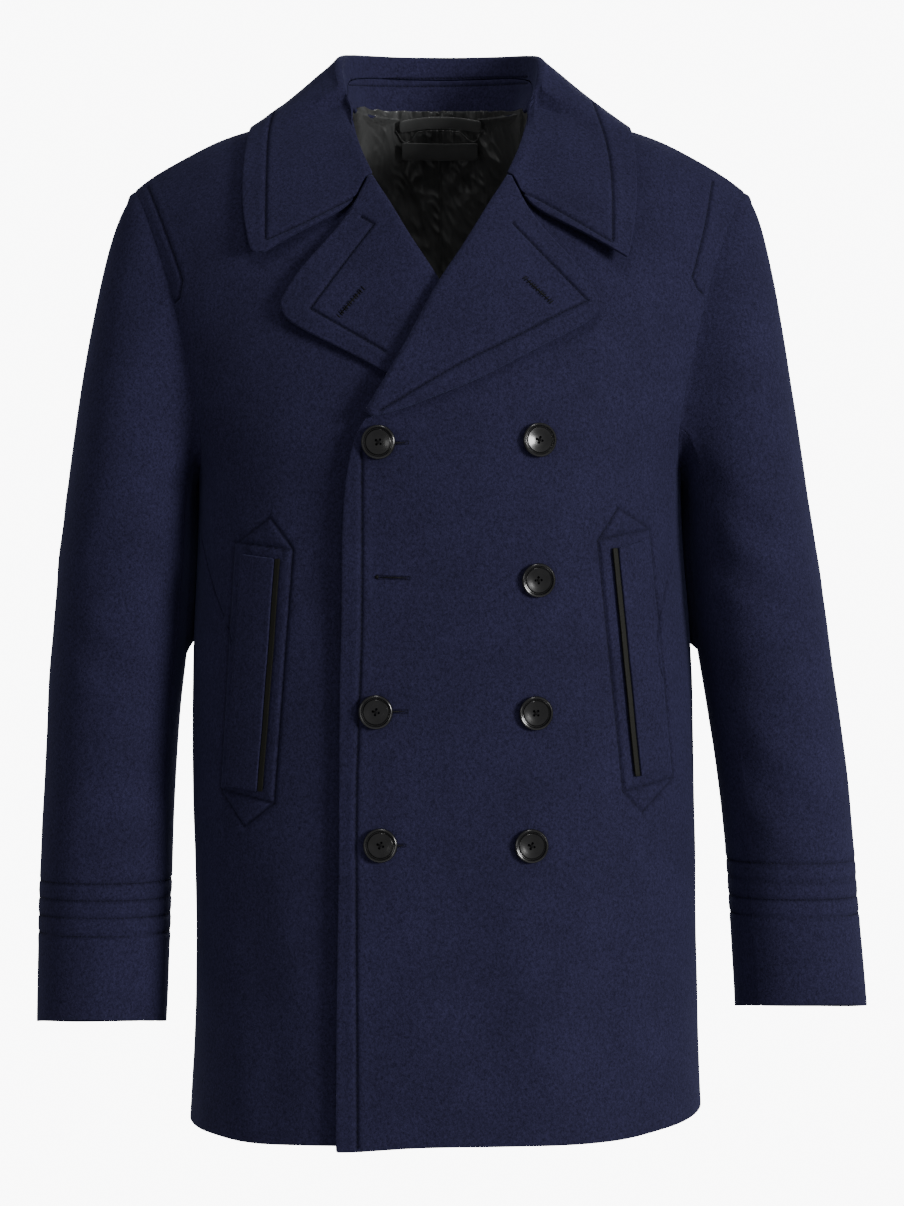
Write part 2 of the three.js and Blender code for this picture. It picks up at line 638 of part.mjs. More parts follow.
// Section of the fall: -1 to 0 inside the fold, 0 to 1 round it, 1 to 2 down to the outer edge
function fallPoint(at, v) {
  const { side, fold, seam, edge } = collarStation(at);
  const toSeam = seam.clone().sub(fold).normalize();
  const toEdge = edge.clone().sub(fold).normalize();
  const up = toSeam.clone().add(toEdge).negate().normalize();
  const out = toEdge.clone().addScaledVector(up, -toEdge.dot(up)).normalize();
  const flat = smoothstep(Math.abs(at), FLAT_FROM, FLAT_TO);
  const radius = lerp(FOLD, ROLL, flat);
  const centre = fold.clone().addScaledVector(up, -radius);
  const start = centre.clone().addScaledVector(out, -radius);
  if (v < 0) return start.clone().lerp(seam.lerp(start.clone().addScaledVector(out, -1.5), flat), -v);
  if (v <= 1) {
    const a = Math.PI * (1 - v);
    return centre.addScaledVector(out, radius * Math.cos(a)).addScaledVector(up, radius * Math.sin(a));
  }
  const t = v - 1;
  const from = centre.addScaledVector(out, radius);
  const reach = from.distanceTo(edge);
  const lift = LEAF_LIFT + END_LIFT * smoothstep(Math.abs(at), FLAT_TO, 1) * (side > 0 ? 1 : 0.5);
  const tip = keepClear(edge.clone(), lift, true);
  const bend = from.clone().addScaledVector(up, -0.25 * reach).addScaledVector(out, 0.22 * reach);
  const p = new THREE.QuadraticBezierCurve3(from, bend, tip).getPoint(t);
  const cut = smoothstep(Math.abs(at), 0.86, 1);
  if (cut > 0) {
    const corner = vec(side * gorge.reach, p.y, gorge.level);
    const straight = t < gorge.share
      ? lerp(0, 1, t / gorge.share) : 1 + (t - gorge.share) / (1 - gorge.share);
    const x = straight < 1 ? lerp(from.x, corner.x, straight) : lerp(corner.x, tip.x, straight - 1);
    const z = straight < 1 ? lerp(from.z, corner.z, straight) : lerp(corner.z, tip.z, straight - 1);
    p.x = lerp(p.x, x, cut);
    p.z = lerp(p.z, z, cut);
  }
  return keepClear(p, Math.min(lift, WOOL + 1 + 6 * t));
}

function standPoint(at, v) {
  const { neck } = collarStation(at);
  const rim = fallPoint(at, -1);
  const down = rim.clone().sub(fallPoint(at, -0.5)).normalize();
  return neck.lerp(rim.addScaledVector(down, 0.9), v);
}

function stations(limit, count) {
  const list = [];
  for (let k = 0; k <= count; k += 1) list.push(lerp(-limit, limit, k / count));
  return list;
}

function addCollar() {
  const fall = stations(1, 28).map((at) => FALL.map((v) => fallPoint(at, v)));
  addCloth('collar_fall', 'wool', fall, -1, WOOL);
  const stand = stations(STAND_END, 20).map((at) => [0, 0.33, 0.67, 1].map((v) => standPoint(at, v)));
  addCloth('collar_stand', 'wool', stand, -1, WOOL);
}

// Lapels: across runs from the roll line to the outer edge, up from the break to the gorge
function outlineAt(rows, t) {
  const lengths = [0];
  for (let k = 1; k < rows.length; k += 1) {
    const [a, b] = [rows[k - 1], rows[k]];
    lengths.push(lengths[k - 1] + Math.hypot(b.reach - a.reach, b.level - a.level));
  }
  const target = t * lengths[lengths.length - 1];
  let k = 1;
  while (k < rows.length - 1 && lengths[k] < target) k += 1;
  const share = clamp((target - lengths[k - 1]) / (lengths[k] - lengths[k - 1]), 0, 1);
  const between = (key) => lerp(rows[k - 1][key], rows[k][key], share);
  return { x: between('reach'), z: between('level') };
}

const LAPEL_ACROSS = [-1, -0.66, -0.33, 0, 0.03, 0.12, 0.26, 0.42, 0.58, 0.74, 0.86, 0.95, 1];

function lapelPoint(side, across, up) {
  const rollAt = (k) => {
    const z = lerp(LAPEL_START, -65, k);
    return { x: read(rollRows, 'level', z, 'reach'), z };
  };
  const roll = rollAt(up);
  const rollTangent = new THREE.Vector2(rollAt(Math.min(1, up + 0.02)).x - rollAt(Math.max(0, up - 0.02)).x,
    rollAt(Math.min(1, up + 0.02)).z - rollAt(Math.max(0, up - 0.02)).z).normalize();
  const lateral = { x: rollTangent.y, z: -rollTangent.x };
  if (across <= 0) {
    const a = -across * Math.PI;
    const q = ROLL * (1 - Math.sin(a));
    const depth = ROLL * Math.cos(a);
    const x = side * (roll.x + lateral.x * q);
    return frontAt(side, x, roll.z + lateral.z * q, ROLL_DEPTH + depth);
  }
  const inner = { x: roll.x + lateral.x * ROLL, z: roll.z + lateral.z * ROLL };
  const lower = outlineAt(lapelLower, up);
  const upper = outlineAt(lapelUpper, across);
  const [a, b] = [lapelUpper[0], lapelUpper[lapelUpper.length - 1]];
  const first = { x: rollAt(0).x + lateral.x * ROLL, z: rollAt(0).z + lateral.z * ROLL };
  const mix = (key, low, high) => (1 - up) * lerp(first[key], lapelLower[0][low], across) + up * upper[key]
    + (1 - across) * inner[key] + across * lower[key]
    - (1 - across) * (1 - up) * first[key] - across * (1 - up) * lapelLower[0][low]
    - (1 - across) * up * a[high] - across * up * b[high];
  const x = mix('x', 'reach', 'reach');
  const z = mix('z', 'level', 'level');
  const free = smoothstep(up, 0.45, 0.9);
  const stand = free * (LAPEL_STAND_OFF * smoothstep(across, 0.3, 1) + 1.6 * Math.sin(Math.PI * across));
  return frontAt(side, side * x, z, ROLL_DEPTH + ROLL + stand);
}

function addLapel(name, side) {
  const ups = [0, 0.09, 0.19, 0.3, 0.41, 0.52, 0.63, 0.74, 0.83, 0.89, 0.93, 0.965, 1];
  const grid = ups.map((up) => LAPEL_ACROSS.map((across) => lapelPoint(side, across, up)));
  addCloth(name, 'wool', grid, side, WOOL);
}

// Pockets: pieces that lie on a front, worked out from its points
function patchOnFront(name, finish, side, corners, thick, columns, rows) {
  const grid = [];
  for (let i = 0; i <= rows; i += 1) {
    const v = i / rows;
    const row = [];
    for (let j = 0; j <= columns; j += 1) {
      const u = j / columns;
      const x = lerp(lerp(corners[0].x, corners[1].x, u), lerp(corners[2].x, corners[3].x, u), v);
      const z = lerp(lerp(corners[0].z, corners[1].z, u), lerp(corners[2].z, corners[3].z, u), v);
      row.push(frontAt(side, x, z, thick + PIECE_GAP));
    }
    grid.push(row);
  }
  addCloth(name, finish, grid, -side, thick);
}

function addPocket(sideName) {
  const side = sideName === 'left' ? 1 : -1;
  const { top, bottom } = pockets[sideName];
  const strip = side * (PIPING + PIECE_GAP);
  const welt = [
    { x: top.inner + strip, z: top.innerZ }, { x: top.outer, z: top.outerZ },
    { x: bottom.inner + strip, z: bottom.innerZ }, { x: bottom.outer, z: bottom.outerZ },
  ];
  const piping = [
    { x: top.inner, z: top.innerZ }, { x: top.inner + side * PIPING, z: top.innerZ },
    { x: bottom.inner, z: bottom.innerZ }, { x: bottom.inner + side * PIPING, z: bottom.innerZ },
  ];
  patchOnFront(`pocket_welt_${sideName}`, 'wool', side, welt, WOOL, 3, 8);
  patchOnFront(`pocket_piping_${sideName}`, 'leather', side, piping, LEATHER, 1, 8);
}

// Lining of the upper back, with the bare label and the hanger loop on it
function liningPoint(across, v, lift) {
  const side = across < 0 ? -1 : 1;
  const s = Math.abs(across);
  const step = 0.01;
  const p = panelPoint(1, side, s, v);
  const along = panelPoint(1, side, s + step, v).sub(panelPoint(1, side, Math.max(0, s - step), v));
  const up = panelPoint(1, side, s, Math.min(2, v + step)).sub(panelPoint(1, side, s, v - step));
  const n = along.cross(up).normalize().multiplyScalar(side);
  if (s < step) n.x = 0;
  return p.addScaledVector(n, lift);
}

// Depth of a grid's face over a place (x, z)
function depthOn(grid, x, z) {
  for (let i = 0; i < grid.length - 1; i += 1) {
    for (let j = 0; j < grid[0].length - 1; j += 1) {
      const [a, b, c, d] = [grid[i][j], grid[i][j + 1], grid[i + 1][j + 1], grid[i + 1][j]];
      for (const corners of [[a, b, c], [a, c, d]]) {
        const flat = corners.map((p) => vec(p.x, p.z, 0));
        const weight = THREE.Triangle.getBarycoord(vec(x, z, 0), ...flat, vec(0, 0, 0));
        if (weight && Math.min(weight.x, weight.y, weight.z) >= 0) {
          return corners[0].y * weight.x + corners[1].y * weight.y + corners[2].y * weight.z;
        }
      }
    }
  }
  return 0;
}

function addNeckFinish() {
  const lift = WOOL + SATIN + LINING_CLEAR;
  const ups = [1, ...ARM_ROWS.filter((t, k) => k % 2 === 1 && t < 1).map((t) => 1 + t), 2];
  const half = BACK_COLUMNS.filter((s) => s > 0 && s < 0.75);
  const acrossList = [...half.slice().reverse().map((s) => -s), 0, ...half];
  const topOf = (s) => liningTop[Math.min(liningTop.length - 1, Math.round(Math.abs(s) * 10))];
  const looseAt = (v, s) => topOf(s).loose * smoothstep(v, 1.6, 1.8);
  const liningAt = (s, v) => liningPoint(s, Math.min(v, topOf(s).top), lift + looseAt(v, s));
  const lining = ups.map((v) => acrossList.map((s) => liningAt(s, v)));
  addCloth('back_lining', 'satin', lining, 1, SATIN);
  const label = [-32, -19].map((z) => [-31, -15, 0, 15, 30].map((x) => (
    vec(x, depthOn(lining, x, z) - LABEL_THICK - PIECE_GAP, z))));
  addCloth('neck_label', 'satin', label, 1, LABEL_THICK);
  const arch = (x) => LOOP.arch * (1 - (x / LOOP.half) ** 2);
  const loop = [LOOP.low, LOOP.high].map((z) => stations(LOOP.half, 6).map((x) => {
    const level = z + LOOP.rise * arch(x);
    return vec(x, depthOn(lining, x, level) - LOOP.thick - 2 * PIECE_GAP - arch(x), level);
  }));
  addCloth('hanger_loop', 'satin', loop, 1, LOOP.thick);
}

// A turned button with a raised rim, a dished middle and four holes
function solidOf(geometry) {
  const bare = geometry.clone();
  bare.deleteAttribute('normal');
  bare.deleteAttribute('uv');
  const merged = mergeVertices(bare, 1e-4);
  return new wasm.Manifold(new wasm.Mesh({
    numProp: 3,
    vertProperties: new Float32Array(merged.attributes.position.array),
    triVerts: new Uint32Array(merged.index.array),
  }));
}

function buttonGeometry() {
  const { radius, thick, rim, dish, foot, hole, holeSpread } = BUTTON;
  const profile = [
    [0, 0], [radius - foot, 0], [radius - 0.3, thick * 0.45], [radius - 0.2, thick * 0.75],
    [radius - 1.2, thick], [radius - rim, thick * 0.93],
    [radius - rim - 1.6, thick - dish], [0, thick - dish - 0.3],
  ].map(([r, h]) => new THREE.Vector2(r, h));
  let body = solidOf(new THREE.LatheGeometry(profile, 22));
  for (let k = 0; k < 4; k += 1) {
    const a = Math.PI / 4 + k * Math.PI / 2;
    const drill = new THREE.CylinderGeometry(hole, hole, 3 * thick, 6);
    drill.translate(holeSpread * Math.cos(a), 0, holeSpread * Math.sin(a));
    body = body.subtract(solidOf(drill));
  }
  const mesh = body.getMesh();
  const geometry = new THREE.BufferGeometry();
  geometry.setAttribute('position', new THREE.Float32BufferAttribute(mesh.vertProperties, 3));
  geometry.setIndex(Array.from(mesh.triVerts));
  return geometry;
}

function addButtons() {
  const shape = buttonGeometry();
  for (const b of buttons) {
    const normal = frontNormal(1, b.x, b.z);
    const mesh = addPiece(b.name, shape, 'horn');
    mesh.quaternion.setFromUnitVectors(vec(0, 1, 0), normal);
    mesh.rotateX(rad(b.tiltX));
    mesh.rotateZ(rad(b.tiltZ));
    mesh.rotateY(rad(b.spin));
    mesh.position.copy(frontAt(1, b.x, b.z, b.lift));
  }
}

addPanel('front_left', -1, 1, FRONT_COLUMNS);
addPanel('front_right', -1, -1, FRONT_COLUMNS);
addPanel('back_left', 1, 1, BACK_COLUMNS);
addPanel('back_right', 1, -1, BACK_COLUMNS);
addSleeve('left');
addSleeve('right');
addCollar();
addLapel('lapel_left', 1);
addLapel('lapel_right', -1);
addPocket('left');
addPocket('right');
addNeckFinish();
addButtons();

export default coat;
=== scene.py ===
# %% [markdown]
# # A pea coat in heavy navy wool
# The coat hangs in worn form: a hollow body, two sleeves, a wide folded collar over broad lapels.
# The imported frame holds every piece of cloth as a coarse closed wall. This lesson takes a copy of
# each wall, rounds it, presses the stitched lines into it and dresses it in wool, satin and horn.

# %% Setup
import math

import bmesh
import bpy
from mathutils import Matrix, Vector, kdtree, noise
from mathutils.bvhtree import BVHTree


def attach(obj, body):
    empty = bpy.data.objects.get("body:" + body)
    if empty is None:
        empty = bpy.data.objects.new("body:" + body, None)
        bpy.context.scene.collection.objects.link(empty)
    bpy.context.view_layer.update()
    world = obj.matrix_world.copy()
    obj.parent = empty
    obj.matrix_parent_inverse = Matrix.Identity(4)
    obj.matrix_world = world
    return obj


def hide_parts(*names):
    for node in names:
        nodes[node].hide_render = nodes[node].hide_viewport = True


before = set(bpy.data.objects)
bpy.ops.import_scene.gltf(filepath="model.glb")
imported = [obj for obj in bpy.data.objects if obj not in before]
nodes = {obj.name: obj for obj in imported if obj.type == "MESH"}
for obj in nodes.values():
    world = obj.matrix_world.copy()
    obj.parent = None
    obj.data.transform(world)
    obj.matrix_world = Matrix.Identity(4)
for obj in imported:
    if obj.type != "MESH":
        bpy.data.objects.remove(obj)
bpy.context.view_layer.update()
scene = bpy.context.scene
MM = 0.001
# The vector noise starts from the clock unless it is seeded, and each run has to give the same coat.
NOISE_SEED = 11
noise.seed_set(NOISE_SEED)

# %% [markdown]
# ## Looking from the photograph
# The camera stands 2.6 m in front of the neck and looks straight ahead. A place in the picture is
# turned into a ray from the camera, so a stitched line that is read off the picture can be laid on
# the cloth by following the ray to the first surface that it meets. That keeps every line on its
# cloth from all sides, and needs no drawing in depth.

# %% Camera and rays
MM_PER_PIXEL = 0.79
PICTURE_MIDDLE = (452, 603)
CAMERA_AT = Vector((9.5, -2600, -393.5)) * MM


def make_camera():
    data = bpy.data.cameras.new("camera")
    data.lens = 98.2
    data.sensor_width = 36
    data.clip_end = 60
    camera = bpy.data.objects.new("camera", data)
    camera.location = CAMERA_AT
    camera.rotation_euler = (math.pi / 2, 0, 0)
    scene.collection.objects.link(camera)
    scene.camera = camera


def picture_ray(across, down):
    target = CAMERA_AT.copy()
    target.y = 0
    target.x += (across - PICTURE_MIDDLE[0]) * MM_PER_PIXEL * MM
    target.z -= (down - PICTURE_MIDDLE[1]) * MM_PER_PIXEL * MM
    return CAMERA_AT, (target - CAMERA_AT).normalized()


make_camera()
print("camera at", tuple(CAMERA_AT))

# %% [markdown]
# ## Shader helpers
# A finish is a handful of noise patterns read in the object's own coordinates, in metres. Two small
# helpers keep the node code short: one adds a node with its values, one joins sockets.

# %% Shader helpers
def add_node(tree, kind, **values):
    node = tree.nodes.new(kind)
    for key, value in values.items():
        if hasattr(node, key):
            setattr(node, key, value)
        else:
            node.inputs[key.replace("_", " ")].default_value = value
    return node


def math_node(tree, operation, a, b=0.5, c=None):
    node = tree.nodes.new("ShaderNodeMath")
    node.operation = operation
    for socket, value in zip(node.inputs, (a, b, c)):
        if value is None:
            continue
        if isinstance(value, (int, float)):
            socket.default_value = value
        else:
            tree.links.new(value, socket)
    return node.outputs[0]


def noise_node(tree, where, scale, detail=2.0, rough=0.5):
    node = tree.nodes.new("ShaderNodeTexNoise")
    node.inputs["Scale"].default_value = scale
    node.inputs["Detail"].default_value = detail
    node.inputs["Roughness"].default_value = rough
    tree.links.new(where, node.inputs["Vector"])
    return node.outputs["Fac"]


def mix_colours(tree, factor, a, b):
    node = tree.nodes.new("ShaderNodeMix")
    node.data_type = "RGBA"
    sockets = {"Factor": factor, "A": a, "B": b}
    for socket in node.inputs:
        value = sockets.get(socket.name) if socket.enabled else None
        if value is None:
            continue
        if isinstance(value, (tuple, float)):
            socket.default_value = (*value, 1.0) if isinstance(value, tuple) else value
        else:
            tree.links.new(value, socket)
    return next(s for s in node.outputs if s.enabled)


def new_group(name, inputs, outputs):
    group = bpy.data.node_groups.new(name, "ShaderNodeTree")
    for label, kind, default in inputs:
        socket = group.interface.new_socket(label, in_out="INPUT", socket_type=kind)
        if default is not None:
            socket.default_value = default
    for label, kind in outputs:
        group.interface.new_socket(label, in_out="OUTPUT", socket_type=kind)
    return group, group.nodes.new("NodeGroupInput"), group.nodes.new("NodeGroupOutput")


# %% [markdown]
# ## Felted nap
# Melton is woven, fulled and brushed until the weave is hidden under short matted fibres. From near
# it is a speckle of lighter and darker fibres about a millimetre long, on slow patches where the nap
# lies one way or the other. The group gives three masks: the fibres, the patches and a height.

# %% Felted nap group
def felted_nap():
    floats = "NodeSocketFloat"
    group, entry, leave = new_group(
        "Felted nap",
        [("Position", "NodeSocketVector", None), ("Fibre size", floats, 1.0)],
        [("Fibres", floats), ("Patches", floats), ("Height", floats)],
    )
    stretch = add_node(group, "ShaderNodeMapping")
    stretch.inputs["Rotation"].default_value = (0.2, 0.5, 0.35)
    stretch.inputs["Scale"].default_value = (1.0, 1.0, 0.85)
    group.links.new(entry.outputs["Position"], stretch.inputs["Vector"])
    scaled = add_node(group, "ShaderNodeVectorMath", operation="SCALE")
    group.links.new(stretch.outputs[0], scaled.inputs[0])
    group.links.new(math_node(group, "DIVIDE", 1.0, entry.outputs["Fibre size"]), scaled.inputs["Scale"])
    fine = noise_node(group, scaled.outputs[0], 1000.0, 3.0, 0.75)
    clumps = noise_node(group, scaled.outputs[0], 480.0, 2.0, 0.6)
    patches = noise_node(group, entry.outputs["Position"], 24.0, 3.0, 0.55)
    some_fine = math_node(group, "MULTIPLY", fine, 0.6)
    some_clumps = math_node(group, "MULTIPLY", clumps, 0.4)
    both = math_node(group, "ADD", some_fine, some_clumps)
    group.links.new(both, leave.inputs["Fibres"])
    group.links.new(patches, leave.inputs["Patches"])
    height = math_node(group, "ADD", both, math_node(group, "MULTIPLY", clumps, 0.5))
    group.links.new(height, leave.inputs["Height"])
    return group


NAP = felted_nap()
print("nap group made")

# %% [markdown]
# ## The finishes
# Wool is dark and matt, and only its nap catches light at the edges, which is what the sheen of the
# surface shader is for. Along the stitched channels its colour is darkened as painted shade, read from
# the mark that pressing leaves on its points. Satin is black with a soft tight gloss. The strip in the
# pocket mouths is a thin leather, and the buttons are polished horn with a cloudy grain. Thread is a
# twisted polyester.

# %% Materials
def start_material(name):
    material = bpy.data.materials.new(name)
    material.use_nodes = True
    tree = material.node_tree
    shader = tree.nodes["Principled BSDF"]
    where = tree.nodes.new("ShaderNodeTexCoord").outputs["Object"]
    return material, tree, shader, where


def add_bump(tree, shader, height, distance, strength=1.0):
    bump = add_node(tree, "ShaderNodeBump", Strength=strength, Distance=distance)
    tree.links.new(height, bump.inputs["Height"])
    tree.links.new(bump.outputs[0], shader.inputs["Normal"])


# How much painted shade darkens the wool's colour along the pressed channels.
SUNK_SHADE = 0.42


def wool_material(name, dark, light, fibre_size):
    material, tree, shader, where = start_material(name)
    nap = tree.nodes.new("ShaderNodeGroup")
    nap.node_tree = NAP
    nap.inputs["Fibre size"].default_value = fibre_size
    tree.links.new(where, nap.inputs["Position"])
    contrast = math_node(tree, "MULTIPLY_ADD", nap.outputs["Fibres"], 3.6, -1.3)
    fibre = add_node(tree, "ShaderNodeClamp")
    tree.links.new(contrast, fibre.inputs[0])
    body = mix_colours(tree, fibre.outputs[0], dark, light)
    # Painted shade: the colour is darkened along the pressed channels by the mark that pressing leaves.
    painted_channel_shade = add_node(tree, "ShaderNodeAttribute", attribute_name="painted_channel_shade").outputs["Fac"]
    worn = math_node(tree, "MULTIPLY_ADD", nap.outputs["Patches"], 0.5, 0.75)
    tone = math_node(tree, "MULTIPLY", worn, math_node(tree, "MULTIPLY_ADD", painted_channel_shade, -SUNK_SHADE, 1.0))
    shaded = add_node(tree, "ShaderNodeVectorMath", operation="SCALE")
    tree.links.new(body, shaded.inputs[0])
    tree.links.new(tone, shaded.inputs["Scale"])
    tree.links.new(shaded.outputs[0], shader.inputs["Base Color"])
    rough = math_node(tree, "MULTIPLY_ADD", nap.outputs["Fibres"], 0.15, 0.82)
    tree.links.new(rough, shader.inputs["Roughness"])
    shader.inputs["Specular IOR Level"].default_value = 0.12
    shader.inputs["Sheen Weight"].default_value = 0.12
    shader.inputs["Sheen Roughness"].default_value = 0.45
    shader.inputs["Sheen Tint"].default_value = (0.32, 0.36, 0.75, 1.0)
    add_bump(tree, shader, nap.outputs["Height"], 0.0005, 0.55)
    return material


def satin_material(name, colour, rough):
    material, tree, shader, where = start_material(name)
    threads = noise_node(tree, where, 700.0, 2.0, 0.6)
    slubs = noise_node(tree, where, 60.0, 3.0, 0.6)
    tone = mix_colours(tree, slubs, tuple(c * 0.6 for c in colour), tuple(c * 1.5 for c in colour))
    tree.links.new(tone, shader.inputs["Base Color"])
    tree.links.new(math_node(tree, "MULTIPLY_ADD", slubs, 0.18, rough), shader.inputs["Roughness"])
    shader.inputs["Specular IOR Level"].default_value = 0.6
    shader.inputs["Sheen Weight"].default_value = 0.1
    add_bump(tree, shader, threads, 0.00012, 0.5)
    return material


def leather_material(name, colour):
    material, tree, shader, where = start_material(name)
    cells = add_node(tree, "ShaderNodeTexVoronoi", Scale=1100.0)
    tree.links.new(where, cells.inputs["Vector"])
    worn = noise_node(tree, where, 90.0, 3.0, 0.6)
    tone = mix_colours(tree, worn, tuple(c * 0.6 for c in colour), tuple(c * 1.5 for c in colour))
    tree.links.new(tone, shader.inputs["Base Color"])
    tree.links.new(math_node(tree, "MULTIPLY_ADD", worn, 0.2, 0.5), shader.inputs["Roughness"])
    shader.inputs["Specular IOR Level"].default_value = 0.16
    add_bump(tree, shader, cells.outputs["Distance"], 0.0002, 0.6)
    return material


def horn_material(name, colour):
    material, tree, shader, where = start_material(name)
    clouds = noise_node(tree, where, 130.0, 4.0, 0.6)
    tone = mix_colours(tree, clouds, tuple(c * 0.5 for c in colour), tuple(c * 2.2 for c in colour))
    tree.links.new(tone, shader.inputs["Base Color"])
    tree.links.new(math_node(tree, "MULTIPLY_ADD", clouds, 0.1, 0.2), shader.inputs["Roughness"])
    shader.inputs["Specular IOR Level"].default_value = 0.5
    shader.inputs["Coat Weight"].default_value = 0.3
    shader.inputs["Coat Roughness"].default_value = 0.08
    add_bump(tree, shader, noise_node(tree, where, 900.0, 2.0, 0.5), 0.00005, 0.4)
    return material


def thread_material(name, colour):
    material, tree, shader, where = start_material(name)
    twist = noise_node(tree, where, 2500.0, 1.0, 0.5)
    tone = mix_colours(tree, twist, tuple(c * 0.55 for c in colour), tuple(c * 1.6 for c in colour))
    tree.links.new(tone, shader.inputs["Base Color"])
    shader.inputs["Roughness"].default_value = 0.6
    shader.inputs["Specular IOR Level"].default_value = 0.18
    add_bump(tree, shader, twist, 0.0001, 0.6)
    return material


NAVY = wool_material("navy_wool", (0.0074, 0.0067, 0.0205), (0.025, 0.0236, 0.0625), 1.0)
SATIN = satin_material("black_satin", (0.044, 0.045, 0.045), 0.28)
LEATHER = leather_material("dark_leather", (0.0065, 0.0066, 0.0045))
HORN = horn_material("black_horn", (0.005, 0.005, 0.0054))
THREAD = thread_material("navy_thread", (0.0045, 0.0048, 0.014))
# Black thread, also used for the painted shade strands in the buttonhole slits.
BLACK_THREAD_AND_SLIT_SHADE = thread_material("black_thread", (0.0028, 0.0028, 0.0034))
print("materials:", len(bpy.data.materials))

# %% [markdown]
# ## A fine wall from a coarse one
# A panel of coating is a wall of even thickness with soft turned edges. The frame's wall has the
# right form in large facets. Its copy is merged, its triangle pairs become quads, its rim edges get
# a partial crease, and a subdivision surface rounds the rest. A partial crease keeps the edge of the
# cloth in place and rolls it a little, which a full crease or a bevel would do less softly.

# %% Rounding a copy
def link(piece):
    scene.collection.objects.link(piece)
    return piece


def bake(piece):
    bpy.context.view_layer.update()
    ready = piece.evaluated_get(bpy.context.evaluated_depsgraph_get())
    mesh = bpy.data.meshes.new_from_object(ready)
    piece.modifiers.clear()
    piece.data = mesh
    return piece


def merged_copy(node, name):
    mesh = nodes[node].data.copy()
    mesh.name = name
    mesh.materials.clear()
    bm = bmesh.new()
    bm.from_mesh(mesh)
    bmesh.ops.remove_doubles(bm, verts=bm.verts, dist=2e-5)
    bmesh.ops.join_triangles(
        bm, faces=bm.faces, angle_face_threshold=math.radians(28), angle_shape_threshold=math.pi
    )
    return mesh, bm


def fine_wall(node, name, levels, crease=0.5):
    mesh, bm = merged_copy(node, name)
    layer = bm.edges.layers.float.new("crease_edge")
    for edge in bm.edges:
        if len(edge.link_faces) == 2 and edge.calc_face_angle(0) > math.radians(45):
            edge[layer] = crease
    clean = bpy.data.meshes.new(name)
    bm.to_mesh(clean)
    bm.free()
    bpy.data.meshes.remove(mesh)
    piece = link(bpy.data.objects.new(name, clean))
    rounded = piece.modifiers.new("Round", "SUBSURF")
    rounded.levels = rounded.render_levels = levels
    return bake(piece)


def tree_of(piece):
    bm = bmesh.new()
    bm.from_mesh(piece.data)
    tree = BVHTree.FromBMesh(bm)
    bm.free()
    return tree


# %% [markdown]
# ## Lines on the cloth
# Topstitching runs parallel to the edges and draws the cloth down into a shallow channel. Each line
# is a short list of places in the picture. It is walked in even steps, either straight from point to
# point or on a soft curve, and each step is carried to the cloth by its ray.

# %% Laying a line
def walk(points, soft=True, step=1.0):
    points = [Vector(p) for p in points]
    result = []
    for i in range(len(points) - 1):
        a, b = points[i], points[i + 1]
        before = points[i - 1] if soft and i > 0 else a
        after = points[i + 2] if soft and i + 2 < len(points) else b
        count = max(1, round((b - a).length / step))
        for k in range(count):
            t = k / count
            result.append(
                0.5 * (2 * a + (b - before) * t + (2 * before - 5 * a + 4 * b - after) * t * t
                       + (3 * a - before - 3 * b + after) * t ** 3)
                if soft else a.lerp(b, t)
            )
    return result + [points[-1]]


def lay(tree, points, soft=True):
    line = []
    for place in walk(points, soft, 1.2):
        hit, normal, index, distance = tree.ray_cast(*picture_ray(*place))
        if hit is not None:
            line.append((hit, normal))
    return line


def lay_ring(tree, middle, level, start, stop, reach=0.13, steps=240):
    line = []
    for k in range(steps + 1):
        turn = math.radians(start + (stop - start) * k / steps)
        away = Vector((math.cos(turn), math.sin(turn), 0))
        origin = Vector((middle[0], middle[1], level)) + away * reach
        hit, normal, index, distance = tree.ray_cast(origin, -away, reach)
        if hit is not None:
            line.append((hit, normal))
    return line


# %% [markdown]
# ## Pressing a line into the cloth
# The channel beside a stitched line is about a millimetre deep and three wide, finer than the mesh.
# Only the faces near the line are divided, and then the points sink along the line's own normal in a
# bell shape, while the cloth a few millimetres beside it puffs up a little. A plain seam is the same
# with a narrower bell. Each point keeps how deep it lies in the channel, which the wool paints as shade.

# %% Pressing
PUFF_AT = 4.5 * MM
PUFF_WIDE = 2.6 * MM


def press(piece, lines, depth, width, passes=2, reach=2.2):
    samples = [sample for line in lines for sample in line]
    if not samples:
        return piece
    near = kdtree.KDTree(len(samples))
    for i, (place, normal) in enumerate(samples):
        near.insert(place, i)
    near.balance()
    bm = bmesh.new()
    bm.from_mesh(piece.data)
    # This mark of nearness to the line is painted as shade into the wool's colour.
    painted_channel_shade = bm.verts.layers.float.get("painted_channel_shade") or bm.verts.layers.float.new("painted_channel_shade")
    for k in range(passes):
        bm.normal_update()
        close = set()
        for vert in bm.verts:
            place, index, distance = near.find(vert.co)
            if distance < width * reach + 0.004 * 0.5 ** k and vert.normal.dot(samples[index][1]) > 0.35:
                close.add(vert)
        edges = [e for e in bm.edges if e.verts[0] in close and e.verts[1] in close]
        bmesh.ops.subdivide_edges(bm, edges=edges, cuts=1, use_grid_fill=True, smooth=0.0)
    bm.normal_update()
    moves = []
    for vert in bm.verts:
        place, index, distance = near.find(vert.co)
        normal = samples[index][1]
        if distance < PUFF_AT * 2.2 and vert.normal.dot(normal) > 0.35:
            dent = depth * math.exp(-((distance / width) ** 2))
            puff = 0.3 * depth * math.exp(-(((distance - PUFF_AT) / PUFF_WIDE) ** 2))
            moves.append((vert, normal * (puff - dent)))
            vert[painted_channel_shade] = max(vert[painted_channel_shade], math.exp(-((distance / width) ** 2)))
    for vert, move in moves:
        vert.co += move
    bm.to_mesh(piece.data)
    bm.free()
    return piece
